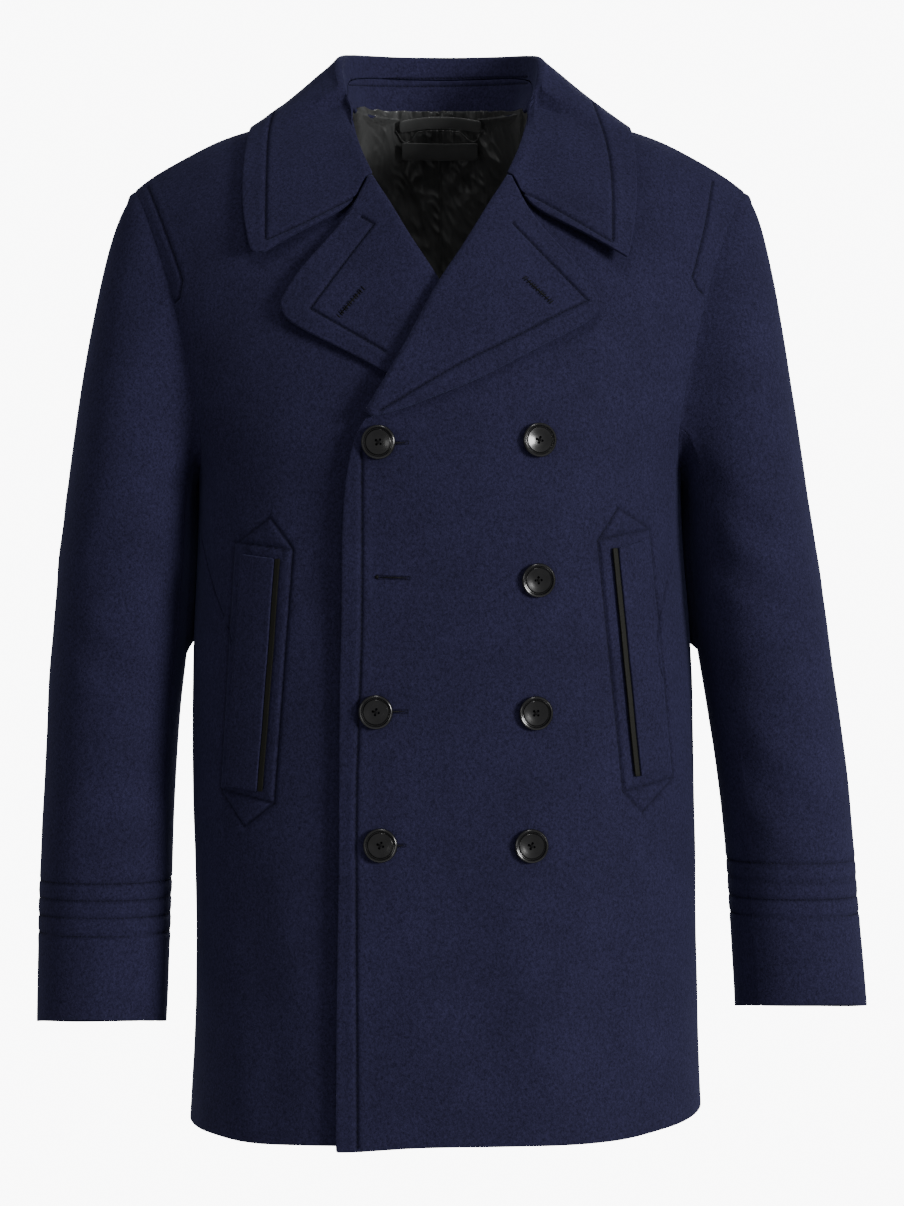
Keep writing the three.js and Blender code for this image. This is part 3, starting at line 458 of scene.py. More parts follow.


# %% [markdown]
# ## Soft unevenness
# Heavy cloth never lies dead flat. A slow vector noise moves both faces of the wall together by up
# to a millimetre. All pieces read the same noise, so neighbours stay together at their seams. A few
# creases are placed where the photograph shows the cloth break: each is a bell along a
# slanted line. Both faces move alike, so the wall keeps its thickness.

# %% Moving the cloth
DRIFT = 0.8 * MM
DRIFT_SIZE = 90 * MM


def drift(piece):
    for vert in piece.data.vertices:
        slow = noise.noise_vector(vert.co / DRIFT_SIZE)
        quick = noise.noise_vector(vert.co / (DRIFT_SIZE * 0.4))
        vert.co += (slow + quick * 0.35) * DRIFT
    return piece


def crease(piece, creases, out_from):
    """creases: rows of from, to (metres), wide, depth. out_from gives the outward way at a point."""
    for vert in piece.data.vertices:
        move = 0.0
        for row in creases:
            a, b = Vector(row["from"]), Vector(row["to"])
            along = b - a
            t = max(0.0, min(1.0, (vert.co - a).dot(along) / along.length_squared))
            gap = (vert.co - (a + along * t)).length
            if gap < row["wide"] * 3:
                fade = math.sin(math.pi * (0.08 + 0.84 * t)) ** 0.6
                side = gap / row["wide"]
                valley = math.exp(-side * side) - 0.45 * math.exp(-((side - 1.5) ** 2) * 2.2)
                move += row["depth"] * fade * valley
        if move:
            vert.co += out_from(vert.co) * -move
    return piece


def finish_piece(piece, material, slot_name, *replaced):
    piece.data.materials.clear()
    piece.data.materials.append(material)
    piece.data.polygons.foreach_set("use_smooth", [True] * len(piece.data.polygons))
    piece.data.polygons.foreach_set("material_index", [0] * len(piece.data.polygons))
    piece.data.update()
    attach(piece, "root")
    if replaced:
        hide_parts(*replaced)
    triangles = sum(len(p.vertices) - 2 for p in piece.data.polygons)
    print(f"{piece.name}: {triangles} triangles")
    return piece


# %% [markdown]
# ## Thread
# A stitch is a short fat oval, sunk by half its thickness. Thousands of them are needed, so each is a
# small ball of twenty faces drawn out along the line. One mesh holds all the stitches of a piece.

# %% Stitches
def stitch(bm, place, along, normal, length, thick):
    side = normal.cross(along).normalized()
    up = along.cross(side).normalized()
    basis = Matrix((along * length / 2, side * thick / 2, up * thick / 2)).transposed().to_4x4()
    bmesh.ops.create_icosphere(bm, subdivisions=1, radius=1.0, matrix=Matrix.Translation(place) @ basis)


def sew(bm, line, pitch=3.4, length=2.7, thick=0.5, sink=0.9):
    """pitch, length, thick and sink in millimetres."""
    travelled, target = 0.0, pitch * MM / 2
    for (a, normal_a), (b, normal_b) in zip(line, line[1:]):
        span = (b - a).length
        if span > 0.006 or span == 0:
            continue
        while travelled + span >= target:
            t = (target - travelled) / span
            normal = normal_a.lerp(normal_b, t).normalized()
            place = a.lerp(b, t) - normal * sink * MM
            stitch(bm, place, (b - a).normalized(), normal, length * MM, thick * MM)
            target += pitch * MM
        travelled += span


def thread_piece(name, bm, material=THREAD, slot_name="wool"):
    mesh = bpy.data.meshes.new(name)
    bm.to_mesh(mesh)
    bm.free()
    return finish_piece(link(bpy.data.objects.new(name, mesh)), material, slot_name)

# %% [markdown]
# ## The lines of each piece
# These tables list the sewn lines as the picture shows them, in picture points. "topstitch" lines get
# a channel and thread. "seam" lines are where two cuts of cloth are joined and pressed open, so they
# are only a fine groove, like the darts that run up from the pockets.

# %% Sewn lines
POCKET_FRAMES = {
    "front_right": [(234.5, 542), (292.7, 550), (274, 803.6), (220, 788), (234.5, 542)],
    "front_left": [(598, 540), (650, 529), (673.6, 777), (623.7, 792), (598, 540)],
}
ARROWHEADS = {
    "front_right": [
        [(239.4, 541), (269.7, 517.6), (292.7, 549)],
        [(220, 789), (244, 826.6), (273, 804)],
    ],
    "front_left": [
        [(599.5, 539), (619, 508), (650, 529)],
        [(623.7, 792), (643, 812), (673.6, 778)],
    ],
}
TOPSTITCH = {
    "front_left": [
        {
            "soft": True,
            "points": [(361.5, 448), (361.5, 614), (358, 731), (356, 800), (356, 950), (357, 1148)],
        },
        {"soft": True, "points": [(713, 181), (706, 224), (697, 262), (693, 276)]},
        {"soft": False, "points": [(693, 276), (698, 288), (703, 293)]},
    ],
    "front_right": [
        {"soft": True, "points": [(148, 186.5), (163, 226), (176, 262), (182, 281)]},
        {"soft": False, "points": [(182, 281), (179, 298), (173, 304)]},
    ],
    "lapel_left": [
        {"soft": False, "points": [(513, 222.5), (550, 261), (588, 300)]},
        {
            "soft": True,
            "points": [(588, 300), (556, 315), (522.5, 332.5), (460, 363), (410, 392), (380, 410)],
        },
    ],
    "lapel_right": [
        {"soft": False, "points": [(361, 216.5), (373, 223)]},
        {"soft": True, "points": [(373.5, 224), (341, 266), (310, 308)]},
        {"soft": False, "points": [(310, 308), (385, 351)]},
    ],
    "collar_fall": [
        {"soft": True, "points": [(277, 104), (269, 128), (266, 170), (265, 238)]},
        {"soft": True, "points": [(266, 239), (300, 223.5), (330, 208.5), (350, 199), (361, 196)]},
        {"soft": True, "points": [(594, 103), (607, 143), (612.5, 185), (613, 240)]},
        {"soft": True, "points": [(612, 241), (572, 217.5), (535, 197), (522, 193)]},
    ],
}
SEAMS = {
    "front_left": [
        [(667.5, 582), (661, 612), (657, 641), (659.6, 667), (665, 681)],
    ],
    "front_right": [[(202, 540.6), (208, 568), (216, 596), (228.5, 630), (232, 647)]],
}


def picture_place(place):
    scale = MM_PER_PIXEL * MM * (place.y - CAMERA_AT.y) / -CAMERA_AT.y
    return (
        PICTURE_MIDDLE[0] + (place.x - CAMERA_AT.x) / scale,
        PICTURE_MIDDLE[1] - (place.z - CAMERA_AT.z) / scale,
    )


def depth_inside(outline, across, down):
    """Distance in picture points from the outline to a place inside it, or 0 outside."""
    nearest, inside = 1e9, False
    for (x0, y0), (x1, y1) in zip(outline, outline[1:]):
        if (y0 > down) != (y1 > down) and across < (x1 - x0) * (down - y0) / (y1 - y0) + x0:
            inside = not inside
        along = Vector((x1 - x0, y1 - y0))
        arm = Vector((across - x0, down - y0))
        t = max(0.0, min(1.0, arm.dot(along) / along.length_squared))
        nearest = min(nearest, (arm - along * t).length)
    return nearest if inside else 0.0


def raise_patch(piece, outline, height, soft=1.6):
    """Lifts the cloth inside an outline, as a second layer sewn on would stand."""
    low = [min(p[k] for p in outline) for k in (0, 1)]
    high = [max(p[k] for p in outline) for k in (0, 1)]
    outer = [vert for vert in piece.data.vertices if vert.normal.y < -0.2]
    for vert in outer:
        across, down = picture_place(vert.co)
        if low[0] < across < high[0] and low[1] < down < high[1]:
            inside = min(1.0, depth_inside(outline, across, down) / soft)
            vert.co += out_of_body(vert.co) * height * inside * inside * (3 - 2 * inside)
    return piece


def out_of_body(place):
    return Vector((place.x * 0.35, place.y, 0)).normalized()


def lines_of(piece):
    tree = tree_of(piece)
    name = piece.name.replace("wool_", "")
    sewn = [lay(tree, row["points"], row["soft"]) for row in TOPSTITCH.get(name, [])]
    if name in POCKET_FRAMES:
        sewn.append(lay(tree, POCKET_FRAMES[name], False))
        sewn += [lay(tree, head, False) for head in ARROWHEADS[name]]
    joined = [lay(tree, points) for points in SEAMS.get(name, [])]
    return sewn, joined


# %% [markdown]
# ## The fronts
# The left front laps over the right one and carries two rows of buttons. Below the chest the cloth
# falls with soft upright waves from the widest point, and beside the pocket it dips a little where
# the pocket bag hangs inside. The under front is the same cut seen only at its own pocket side.

# %% Fronts
FRONT_CREASES = {
    "front_left": [
        {"from": (0.150, -0.12, -0.56), "to": (0.120, -0.13, -0.76), "wide": 0.020, "depth": 0.0022},
        {"from": (0.178, -0.07, -0.30), "to": (0.150, -0.10, -0.37), "wide": 0.011, "depth": 0.0016},
        {"from": (0.182, -0.07, -0.34), "to": (0.160, -0.10, -0.42), "wide": 0.010, "depth": 0.0012},
        {"from": (0.020, -0.14, -0.62), "to": (0.045, -0.14, -0.78), "wide": 0.026, "depth": 0.0018},
        {"from": (-0.052, -0.15, -0.30), "to": (-0.050, -0.15, -0.44), "wide": 0.012, "depth": 0.0010},
        {"from": (-0.050, -0.15, -0.50), "to": (-0.052, -0.15, -0.60), "wide": 0.012, "depth": 0.0010},
    ],
    "front_right": [
        {"from": (-0.155, -0.11, -0.60), "to": (-0.130, -0.13, -0.78), "wide": 0.022, "depth": 0.0022},
        {"from": (-0.176, -0.07, -0.30), "to": (-0.150, -0.10, -0.38), "wide": 0.012, "depth": 0.0017},
        {"from": (-0.110, -0.13, -0.30), "to": (-0.085, -0.14, -0.44), "wide": 0.018, "depth": 0.0014},
    ],
}


wool = {}
for name, creases in FRONT_CREASES.items():
    wool[name] = crease(drift(fine_wall(name, f"wool_{name}", 3)), creases, out_of_body)

# %% [markdown]
# ## The back
# The two backs meet in a centre seam that runs from the collar to the hem. Nothing of them shows in
# the photograph, so they are finished plainly, with the same slow waves and a few soft creases.

# %% Back panels
BACK_CREASES = {
    "back_left": [
        {"from": (0.060, 0.12, -0.50), "to": (0.075, 0.13, -0.78), "wide": 0.026, "depth": 0.0025},
        {"from": (0.175, 0.08, -0.28), "to": (0.120, 0.11, -0.36), "wide": 0.014, "depth": 0.0018},
    ],
    "back_right": [
        {"from": (-0.070, 0.12, -0.46), "to": (-0.082, 0.13, -0.78), "wide": 0.028, "depth": 0.0024},
        {"from": (-0.178, 0.08, -0.29), "to": (-0.130, 0.11, -0.35), "wide": 0.013, "depth": 0.0020},
    ],
}
for name, creases in BACK_CREASES.items():
    wool[name] = crease(drift(fine_wall(name, f"wool_{name}", 2)), creases, out_of_body)

# %% [markdown]
# ## The sleeves
# Each sleeve is cut in two, a broad top sleeve and a narrow under sleeve, and hangs as one tube with
# a slight forward bend. Cloth breaks softly at the front of the elbow. Four rows of stitching go
# round above the cuff, a quiet trim of this coat.

# %% Sleeves
CUFF_ROWS = {
    "right": [-0.6098, -0.6228, -0.6366, -0.6504],
    "left": [-0.5945, -0.6083, -0.6221, -0.6359],
}
SLEEVE_MIDDLE = {"right": (-0.263, -0.013), "left": (0.278, -0.013)}
SLEEVE_CREASES = {
    "right": [
        {"from": (-0.208, -0.060, -0.300), "to": (-0.262, -0.076, -0.352), "wide": 0.012, "depth": 0.0024},
        {"from": (-0.206, -0.062, -0.350), "to": (-0.246, -0.076, -0.398), "wide": 0.011, "depth": 0.0018},
        {"from": (-0.285, -0.065, -0.420), "to": (-0.225, -0.072, -0.462), "wide": 0.014, "depth": 0.0022},
        {"from": (-0.215, -0.060, -0.520), "to": (-0.275, -0.072, -0.560), "wide": 0.016, "depth": 0.0020},
        {"from": (-0.310, -0.020, -0.330), "to": (-0.296, 0.050, -0.390), "wide": 0.014, "depth": 0.0020},
        {"from": (-0.312, 0.010, -0.450), "to": (-0.262, 0.060, -0.480), "wide": 0.015, "depth": 0.0024},
    ],
    "left": [
        {"from": (0.206, -0.060, -0.290), "to": (0.256, -0.076, -0.346), "wide": 0.012, "depth": 0.0022},
        {"from": (0.208, -0.062, -0.356), "to": (0.262, -0.076, -0.392), "wide": 0.012, "depth": 0.0020},
        {"from": (0.300, -0.062, -0.430), "to": (0.238, -0.072, -0.470), "wide": 0.013, "depth": 0.0020},
        {"from": (0.228, -0.060, -0.510), "to": (0.290, -0.072, -0.566), "wide": 0.016, "depth": 0.0022},
        {"from": (0.312, -0.020, -0.340), "to": (0.296, 0.050, -0.400), "wide": 0.014, "depth": 0.0020},
        {"from": (0.322, 0.010, -0.460), "to": (0.272, 0.060, -0.490), "wide": 0.015, "depth": 0.0024},
    ],
}


def out_of_sleeve(side):
    middle = SLEEVE_MIDDLE[side]

    def way(place):
        return Vector((place.x - middle[0], place.y - middle[1], 0)).normalized()

    return way


for side, creases in SLEEVE_CREASES.items():
    for part in ("top_sleeve", "under_sleeve"):
        name = f"{part}_{side}"
        wool[name] = crease(drift(fine_wall(name, f"wool_{name}", 3)), creases, out_of_sleeve(side))

# %% [markdown]
# ## Collar and lapels
# The collar is two layers: a stand round the neck and a broad fall that turns over it and ends in two
# leaves. The lapels are the top of the fronts turned back. All of these edges are topstitched at
# about 14 mm. The leaves and lapels are pressed, so they get no creases, only the drift. The free ends
# of the leaves swing a few millimetres off the chest, which throws a thin shadow under them.

# %% Collar and lapels
def round_corner(piece, tip, first, second, radius):
    """Rounds a flat corner seen from the front: tip, and the ways along its two edges, are in x and z."""
    first, second = Vector(first).normalized(), Vector(second).normalized()
    inward = (first + second).normalized()
    half = math.acos(max(-1.0, min(1.0, first.dot(inward))))
    centre = Vector(tip) + inward * radius / math.sin(half)
    wedge = math.pi / 2 - half
    for vert in piece.data.vertices:
        arm = Vector((vert.co.x, vert.co.z)) - centre
        if arm.length == 0 or (vert.co.x > 0) != (centre.x > 0):
            continue
        turn = math.acos(max(-1.0, min(1.0, -arm.normalized().dot(inward))))
        if turn < wedge:
            arm *= math.cos(wedge - turn)
            vert.co.x, vert.co.z = centre.x + arm.x, centre.y + arm.y
    return piece


for name, levels in (("collar_fall", 3), ("collar_stand", 2), ("lapel_left", 2), ("lapel_right", 2)):
    wool[name] = drift(fine_wall(name, f"wool_{name}", levels, 0.55))
round_corner(wool["collar_fall"], (-0.1425, -0.1335), (-0.06, 1), (0.86, 0.46), 9 * MM)


LEAF_FROM = 62 * MM


def stand_off(piece, sign, amount, top, bottom):
    """Swings the free end of a leaf away from the chest, most at its lower outer corner."""
    for vert in piece.data.vertices:
        x, z = vert.co.x * sign, vert.co.z
        if x < LEAF_FROM or z > top:
            continue
        down = min(1.0, (top - z) / (top - bottom))
        outward = min(1.0, (x - LEAF_FROM) / (30 * MM))
        vert.co.y -= amount * down * down * outward
    return piece


stand_off(wool["collar_fall"], 1, 8 * MM, -0.03, -0.125)
stand_off(wool["collar_fall"], -1, 3 * MM, -0.04, -0.125)

# %% [markdown]
# ## Closing the seams
# The frame leaves a hair of air between its pieces. On the real coat they are sewn, so the edge of one
# piece is drawn to the surface of its neighbour wherever the two run within one to three millimetres,
# and the pull fades out over the next ones. It reaches furthest at the back, the sides and the upper
# sleeves. What is left is the fine dent that a pressed seam shows.

# %% Seams
TOUCH = 1.3 * MM
FADE = 2.8 * MM
ARMHOLE_FOOT = -0.299
UPPER_SLEEVE = (-0.43, -0.286)
NOTCH_LEVEL = -0.094


def draw_to(piece, neighbours, low=-2.0, high=2.0, touch=TOUCH, fade=FADE, soft=0.1 * MM):
    for other in neighbours:
        tree = tree_of(wool[other])
        for vert in wool[piece].data.vertices:
            if not low < vert.co.z < high:
                continue
            place, normal, index, distance = tree.find_nearest(vert.co, fade)
            if place is None or distance < 0.05 * MM:
                continue
            pull = 1.0 if distance < touch else (fade - distance) / (fade - touch)
            pull *= min(1.0, (vert.co.z - low) / soft, (high - vert.co.z) / soft)
            vert.co += (place - vert.co) * pull * (1 - 0.04 * MM / distance)


for side in ("left", "right"):
    panels = (f"front_{side}", f"back_{side}")
    draw_to(f"back_{side}", panels[:1], touch=2.6 * MM, fade=4.5 * MM)
    draw_to(f"under_sleeve_{side}", (f"top_sleeve_{side}",))
    draw_to(f"top_sleeve_{side}", panels, ARMHOLE_FOOT)
    draw_to(f"under_sleeve_{side}", panels, ARMHOLE_FOOT)
    for part in ("top_sleeve", "under_sleeve"):
        draw_to(f"{part}_{side}", panels, *UPPER_SLEEVE, 3.2 * MM, 6.2 * MM, 4 * MM)
    draw_to(f"lapel_{side}", ("collar_fall",), NOTCH_LEVEL)
draw_to("back_right", ("back_left",), touch=3 * MM, fade=5 * MM)
print("seams closed")

# %% [markdown]
# ## The inside of the collar
# Where the collar opens at the back neck, a seam joins the fall to the stand. It is stitched on both
# sides, each in a shallow channel of its own.

# %% Collar stand
STAND_ROWS = {
    "collar_fall": [(351, 79.5), (385, 78.6), (435, 78.2), (485, 77.6), (527, 76.8)],
    "collar_stand": [(349, 84.5), (385, 85.6), (435, 85.8), (485, 85), (527, 83)],
}
neck_rows = [lay(tree_of(wool[name]), points) for name, points in STAND_ROWS.items()]
for name, row in zip(STAND_ROWS, neck_rows):
    press(wool[name], [row], 0.8 * MM, 1.0 * MM)
print("neck rows:", [len(row) for row in neck_rows], "steps")

# %% [markdown]
# ## Pressing and finishing the wool
# The topstitched lines, the pocket frames with their arrowheads and the cuff rows sink into the cloth,
# and the darts are narrow grooves. A pocket frame holds a second layer, so the cloth inside it stands
# up a little. Buttons and buttonholes are set by the cloth as it is before pressing, so that copy is
# kept for them. Then each piece of wool gets its finish and takes the place of its node.

# %% Pressed lines
button_front = tree_of(wool["front_left"])
lapel_faces = {name: tree_of(wool[name]) for name in ("lapel_left", "lapel_right")}
PATCH_HEIGHT = 0.7 * MM
sewn_lines = {}
for name in ("front_left", "front_right", "lapel_left", "lapel_right", "collar_fall"):
    sewn, joined = lines_of(wool[name])
    press(wool[name], sewn, 1.3 * MM, 1.25 * MM, 3 if name.startswith("lapel") else 2)
    press(wool[name], joined, 1.5 * MM, 0.8 * MM)
    if name in POCKET_FRAMES:
        raise_patch(wool[name], POCKET_FRAMES[name], PATCH_HEIGHT)
        for head in ARROWHEADS[name]:
            raise_patch(wool[name], head + head[:1], 0.4 * MM)
    sewn_lines[name] = sewn
cuff_lines = []
for side, levels in CUFF_ROWS.items():
    for part in ("top_sleeve", "under_sleeve"):
        tree = tree_of(wool[f"{part}_{side}"])
        rings = [lay_ring(tree, SLEEVE_MIDDLE[side], level, 0, 360) for level in levels]
        press(wool[f"{part}_{side}"], rings, 0.9 * MM, 1.3 * MM, 1)
        cuff_lines += rings
for name, piece in wool.items():
    finish_piece(piece, NAVY, "wool", name)

# %% [markdown]
# ## Pockets
# The hand pockets are slanted. A stitched frame holds a welt that lies on the front, and its mouth
# faces the side seam. Along the front edge of the welt runs a narrow dark strip of leather. The welt
# is raised, so its edges throw a thin shadow, and an arrowhead of stitching strengthens each end.

# %% Pocket pieces
def lift_onto_patch(piece):
    for vert in piece.data.vertices:
        vert.co += out_of_body(vert.co) * PATCH_HEIGHT
    return piece


for side in ("left", "right"):
    welt = fine_wall(f"pocket_welt_{side}", f"wool_pocket_welt_{side}", 3, 0.5)
    drift(welt)
    lift_onto_patch(welt)
    wool[f"pocket_welt_{side}"] = finish_piece(welt, NAVY, "wool", f"pocket_welt_{side}")
    strip = fine_wall(f"pocket_piping_{side}", f"leather_strip_{side}", 3, 0.8)
    drift(strip)
    lift_onto_patch(strip)
    wool[f"pocket_piping_{side}"] = finish_piece(strip, LEATHER, "leather", f"pocket_piping_{side}")

# %% [markdown]
# ## The lining
# The back is lined in black satin, cut wider than the wool so that it can give across the shoulders.
# The spare width is a pleat down the middle, and where the cloth is eased into the neck seam it
# gathers into fine folds. The folds are a sum of upright ridged waves, strongest near the seam, with
# a slow crumple below, and they only ever stand inwards, clear of the wool behind.

# %% Lining
def ridge(value):
    return (1.0 - abs(value)) ** 2


def lining_rise(place):
    """How far the satin stands inwards at a place, in millimetres."""
    x, z = place.x / MM, place.z / MM
    below = max(0.0, -z)
    near_seam = math.exp(-below / 45)
    fan = x * (1 + 0.004 * (60 - below)) if below < 60 else x
    gathers = ridge(noise.noise(Vector((fan / 9.0, z / 55.0, 1.3)))) * 3.4 * near_seam
    slants = ridge(noise.noise(Vector(((x + 0.55 * z) / 26.0, (z - 0.3 * x) / 60.0, 4.1)))) * 2.6
    slants += ridge(noise.noise(Vector(((x - 0.7 * z) / 30.0, (z + 0.3 * x) / 48.0, 8.4)))) * 1.8
    crumple = ridge(noise.noise(Vector(((x + 0.4 * z) / 7.5, z / 15.0, 2.2)))) * 1.7
    pleat = 2.6 / (1 + math.exp(-(x - 0.3) / 0.35)) * math.exp(-max(0.0, x) / 14.0)
    return gathers + slants + crumple + pleat


def rim_levels(piece, pick, reach=0.08, steps=33):
    """Highest or lowest point of a piece in each of a row of narrow upright strips."""
    rows = []
    for k in range(steps):
        x = reach * (2 * k / (steps - 1) - 1)
        strip = [v.co.copy() for v in piece.data.vertices if abs(v.co.x - x) < 3 * MM and v.co.y > 0]
        if strip:
            rows.append((x, pick(strip, key=lambda co: co.z)))
    return rows


def at_rim(rows, x):
    for (x0, a), (x1, b) in zip(rows, rows[1:]):
        if x0 <= x <= x1:
            return a.lerp(b, (x - x0) / (x1 - x0))
    return rows[0][1] if x < rows[0][0] else rows[-1][1]


lining = fine_wall("back_lining", "satin_back_lining", 3, 0.3)
lining_top = rim_levels(lining, max)
neck_seam = rim_levels(wool["collar_stand"], min, 0.064)
RISE_FROM = 60 * MM
LINING_CLEAR = 1.6 * MM
LINING_LOOK = 14 * MM
for vert in lining.data.vertices:
    top = at_rim(lining_top, vert.co.x)
    share = 1 - (top.z - vert.co.z) / RISE_FROM
    if share > 0:
        goal = at_rim(neck_seam, vert.co.x) + Vector((0, 2.0, 4.0)) * MM
        vert.co += Vector((0, goal.y - top.y, goal.z - top.z)) * share * share
bm = bmesh.new()
bm.from_mesh(lining.data)
for wide, low in ((0.080, -0.165), (0.066, -0.125)):
    seen = [e for e in bm.edges if all(abs(v.co.x) < wide and v.co.z > low for v in e.verts)]
    bmesh.ops.subdivide_edges(bm, edges=seen, cuts=1, use_grid_fill=True)
for vert in bm.verts:
    vert.co.y -= lining_rise(vert.co) * MM
bm.to_mesh(lining.data)
bm.free()
for name in ("back_left", "back_right", "front_left", "front_right"):
    tree = tree_of(wool[name])
    for vert in lining.data.vertices:
        if vert.co.z > -0.1:
            hit, normal, index, distance = tree.ray_cast(vert.co, Vector((0, -1, 0)), LINING_LOOK)
            if hit is not None:
                vert.co.y = hit.y - LINING_CLEAR
wool["back_lining"] = finish_piece(lining, SATIN, "satin", "back_lining")

# %% [markdown]
# ## Label and hanger loop
# A plain satin label is sewn under the neck seam, and above it hangs the loop that a hook takes, a
# folded satin band. The label is left bare. Both have to stay clear of the folds of the lining, so
# they are moved inwards by a fixed amount, the label a little further than the loop.

# %% Label and loop
STAND_CLEAR = 6.2 * MM
LABEL_FURTHER = 1.35
LABEL_LOWER = 2.4 * MM
LOOP_HIGHER = 3.6 * MM
LOOP_TALLER = 1.35


def stand_clear(piece, share=1.0):
    for vert in piece.data.vertices:
        vert.co.y -= STAND_CLEAR * share
    return piece


label = stand_clear(fine_wall("neck_label", "satin_neck_label", 3, 0.5), LABEL_FURTHER)
for vert in label.data.vertices:
    vert.co.y += 0.0007 * math.sin(vert.co.x / 0.0105) + 0.0004 * math.sin(vert.co.z / 0.004)
    vert.co.z -= LABEL_LOWER
wool["neck_label"] = finish_piece(label, SATIN, "satin", "neck_label")
loop = stand_clear(fine_wall("hanger_loop", "satin_hanger_loop", 3, 0.35))
loop_middle = sum(vert.co.z for vert in loop.data.vertices) / len(loop.data.vertices)
for vert in loop.data.vertices:
    vert.co.z = loop_middle + (vert.co.z - loop_middle) * LOOP_TALLER + LOOP_HIGHER
wool["hanger_loop"] = finish_piece(loop, SATIN, "satin", "hanger_loop")

# %% [markdown]
# ## The piped edge under the loop
# A fine cord edges the top of the lining. It sags in two small scallops below the ends of the loop.
# A curve with a round bevel is the natural tool for a cord, and it becomes a mesh at the end.

# %% Lining cord
def tube(name, places, radius, material, slot_name, resolution=3):
    data = bpy.data.curves.new(name, "CURVE")
    data.dimensions = "3D"
    data.bevel_depth = radius
    data.bevel_resolution = resolution
    data.use_fill_caps = True
    spline = data.splines.new("POLY")
    spline.points.add(len(places) - 1)
    for point, place in zip(spline.points, places):
        point.co = (*place, 1.0)
    holder = link(bpy.data.objects.new(name, data))
    bpy.context.view_layer.update()
    mesh = bpy.data.meshes.new_from_object(holder.evaluated_get(bpy.context.evaluated_depsgraph_get()))
    bpy.data.objects.remove(holder)
    return finish_piece(link(bpy.data.objects.new(name, mesh)), material, slot_name)


PIPED_EDGE = [
    (396, 131), (399, 136), (402, 141), (407, 142.6), (412, 140), (416, 134), (422, 131.6), (440, 131),
    (458, 132), (463, 135), (468, 139.5), (473, 142), (477, 140), (480, 134), (483, 130),
]
lining_tree = tree_of(wool["back_lining"])
edge_line = [place - Vector((0, 1.6 * MM, 0)) for place, normal in lay(lining_tree, PIPED_EDGE)]
if len(edge_line) > 3:
    tube("satin_piped_edge", edge_line, 0.55 * MM, SATIN, "satin")
print("piped edge:", len(edge_line), "steps")

# %% [markdown]
# ## Buttons
# The buttons are turned from black horn: a rounded rim, a dished face and four holes sewn with crossed
# thread. Half a profile is spun round an axis, which is how the real one is cut on a lathe, and the
# holes are drilled with a boolean. Seven copies are set on the cloth, each turned a little, because a
# button is never sewn on quite square.

# %% Button shape
BUTTON_PROFILE = [
    (0, 0.2), (9.8, 0.2), (12.2, 1.3), (12.9, 2.3), (12.8, 3.3), (12.3, 4.0), (11.7, 4.25), (11.1, 4.05),
    (10.7, 3.3), (10.35, 2.6), (10.0, 2.5), (9.6, 2.95), (9.1, 3.3), (8.3, 3.2), (6.0, 2.65), (3.4, 2.25),
    (0, 2.1),
]
HOLE_SPREAD = 1.75
HOLE_RADIUS = 0.95


def turned_button():
    bm = bmesh.new()
    profile = [bm.verts.new((r * MM, 0, h * MM)) for r, h in BUTTON_PROFILE]
    chain = [bm.edges.new(pair) for pair in zip(profile, profile[1:])]
    bmesh.ops.spin(
        bm, geom=profile + chain, cent=(0, 0, 0), axis=(0, 0, 1), dvec=(0, 0, 0),
        angle=2 * math.pi, steps=56, use_merge=True, use_duplicate=False,
    )
    bmesh.ops.remove_doubles(bm, verts=bm.verts, dist=1e-6)
    bmesh.ops.recalc_face_normals(bm, faces=bm.faces)
    mesh = bpy.data.meshes.new("button")
    bm.to_mesh(mesh)
    bm.free()
    blank = link(bpy.data.objects.new("button", mesh))
    drills = bmesh.new()
    for k in range(4):
        turn = math.pi / 4 + k * math.pi / 2
        place = Vector((math.cos(turn), math.sin(turn), 0)) * HOLE_SPREAD * 1.25 * MM
        bmesh.ops.create_cone(
            drills, cap_ends=True, segments=16, radius1=HOLE_RADIUS * MM, radius2=HOLE_RADIUS * MM,
            depth=12 * MM, matrix=Matrix.Translation(place),
        )
    cutter_mesh = bpy.data.meshes.new("drills")
    drills.to_mesh(cutter_mesh)
    drills.free()
    cutter = link(bpy.data.objects.new("drills", cutter_mesh))
    cut = blank.modifiers.new("Drill", "BOOLEAN")
    cut.operation = "DIFFERENCE"
    cut.object = cutter
    cut.solver = "EXACT"
    bake(blank)
    bpy.data.objects.remove(cutter)
    shape = blank.data
    bpy.data.objects.remove(blank)
    return shape


BUTTON = turned_button()
print("button:", len(BUTTON.polygons), "faces")

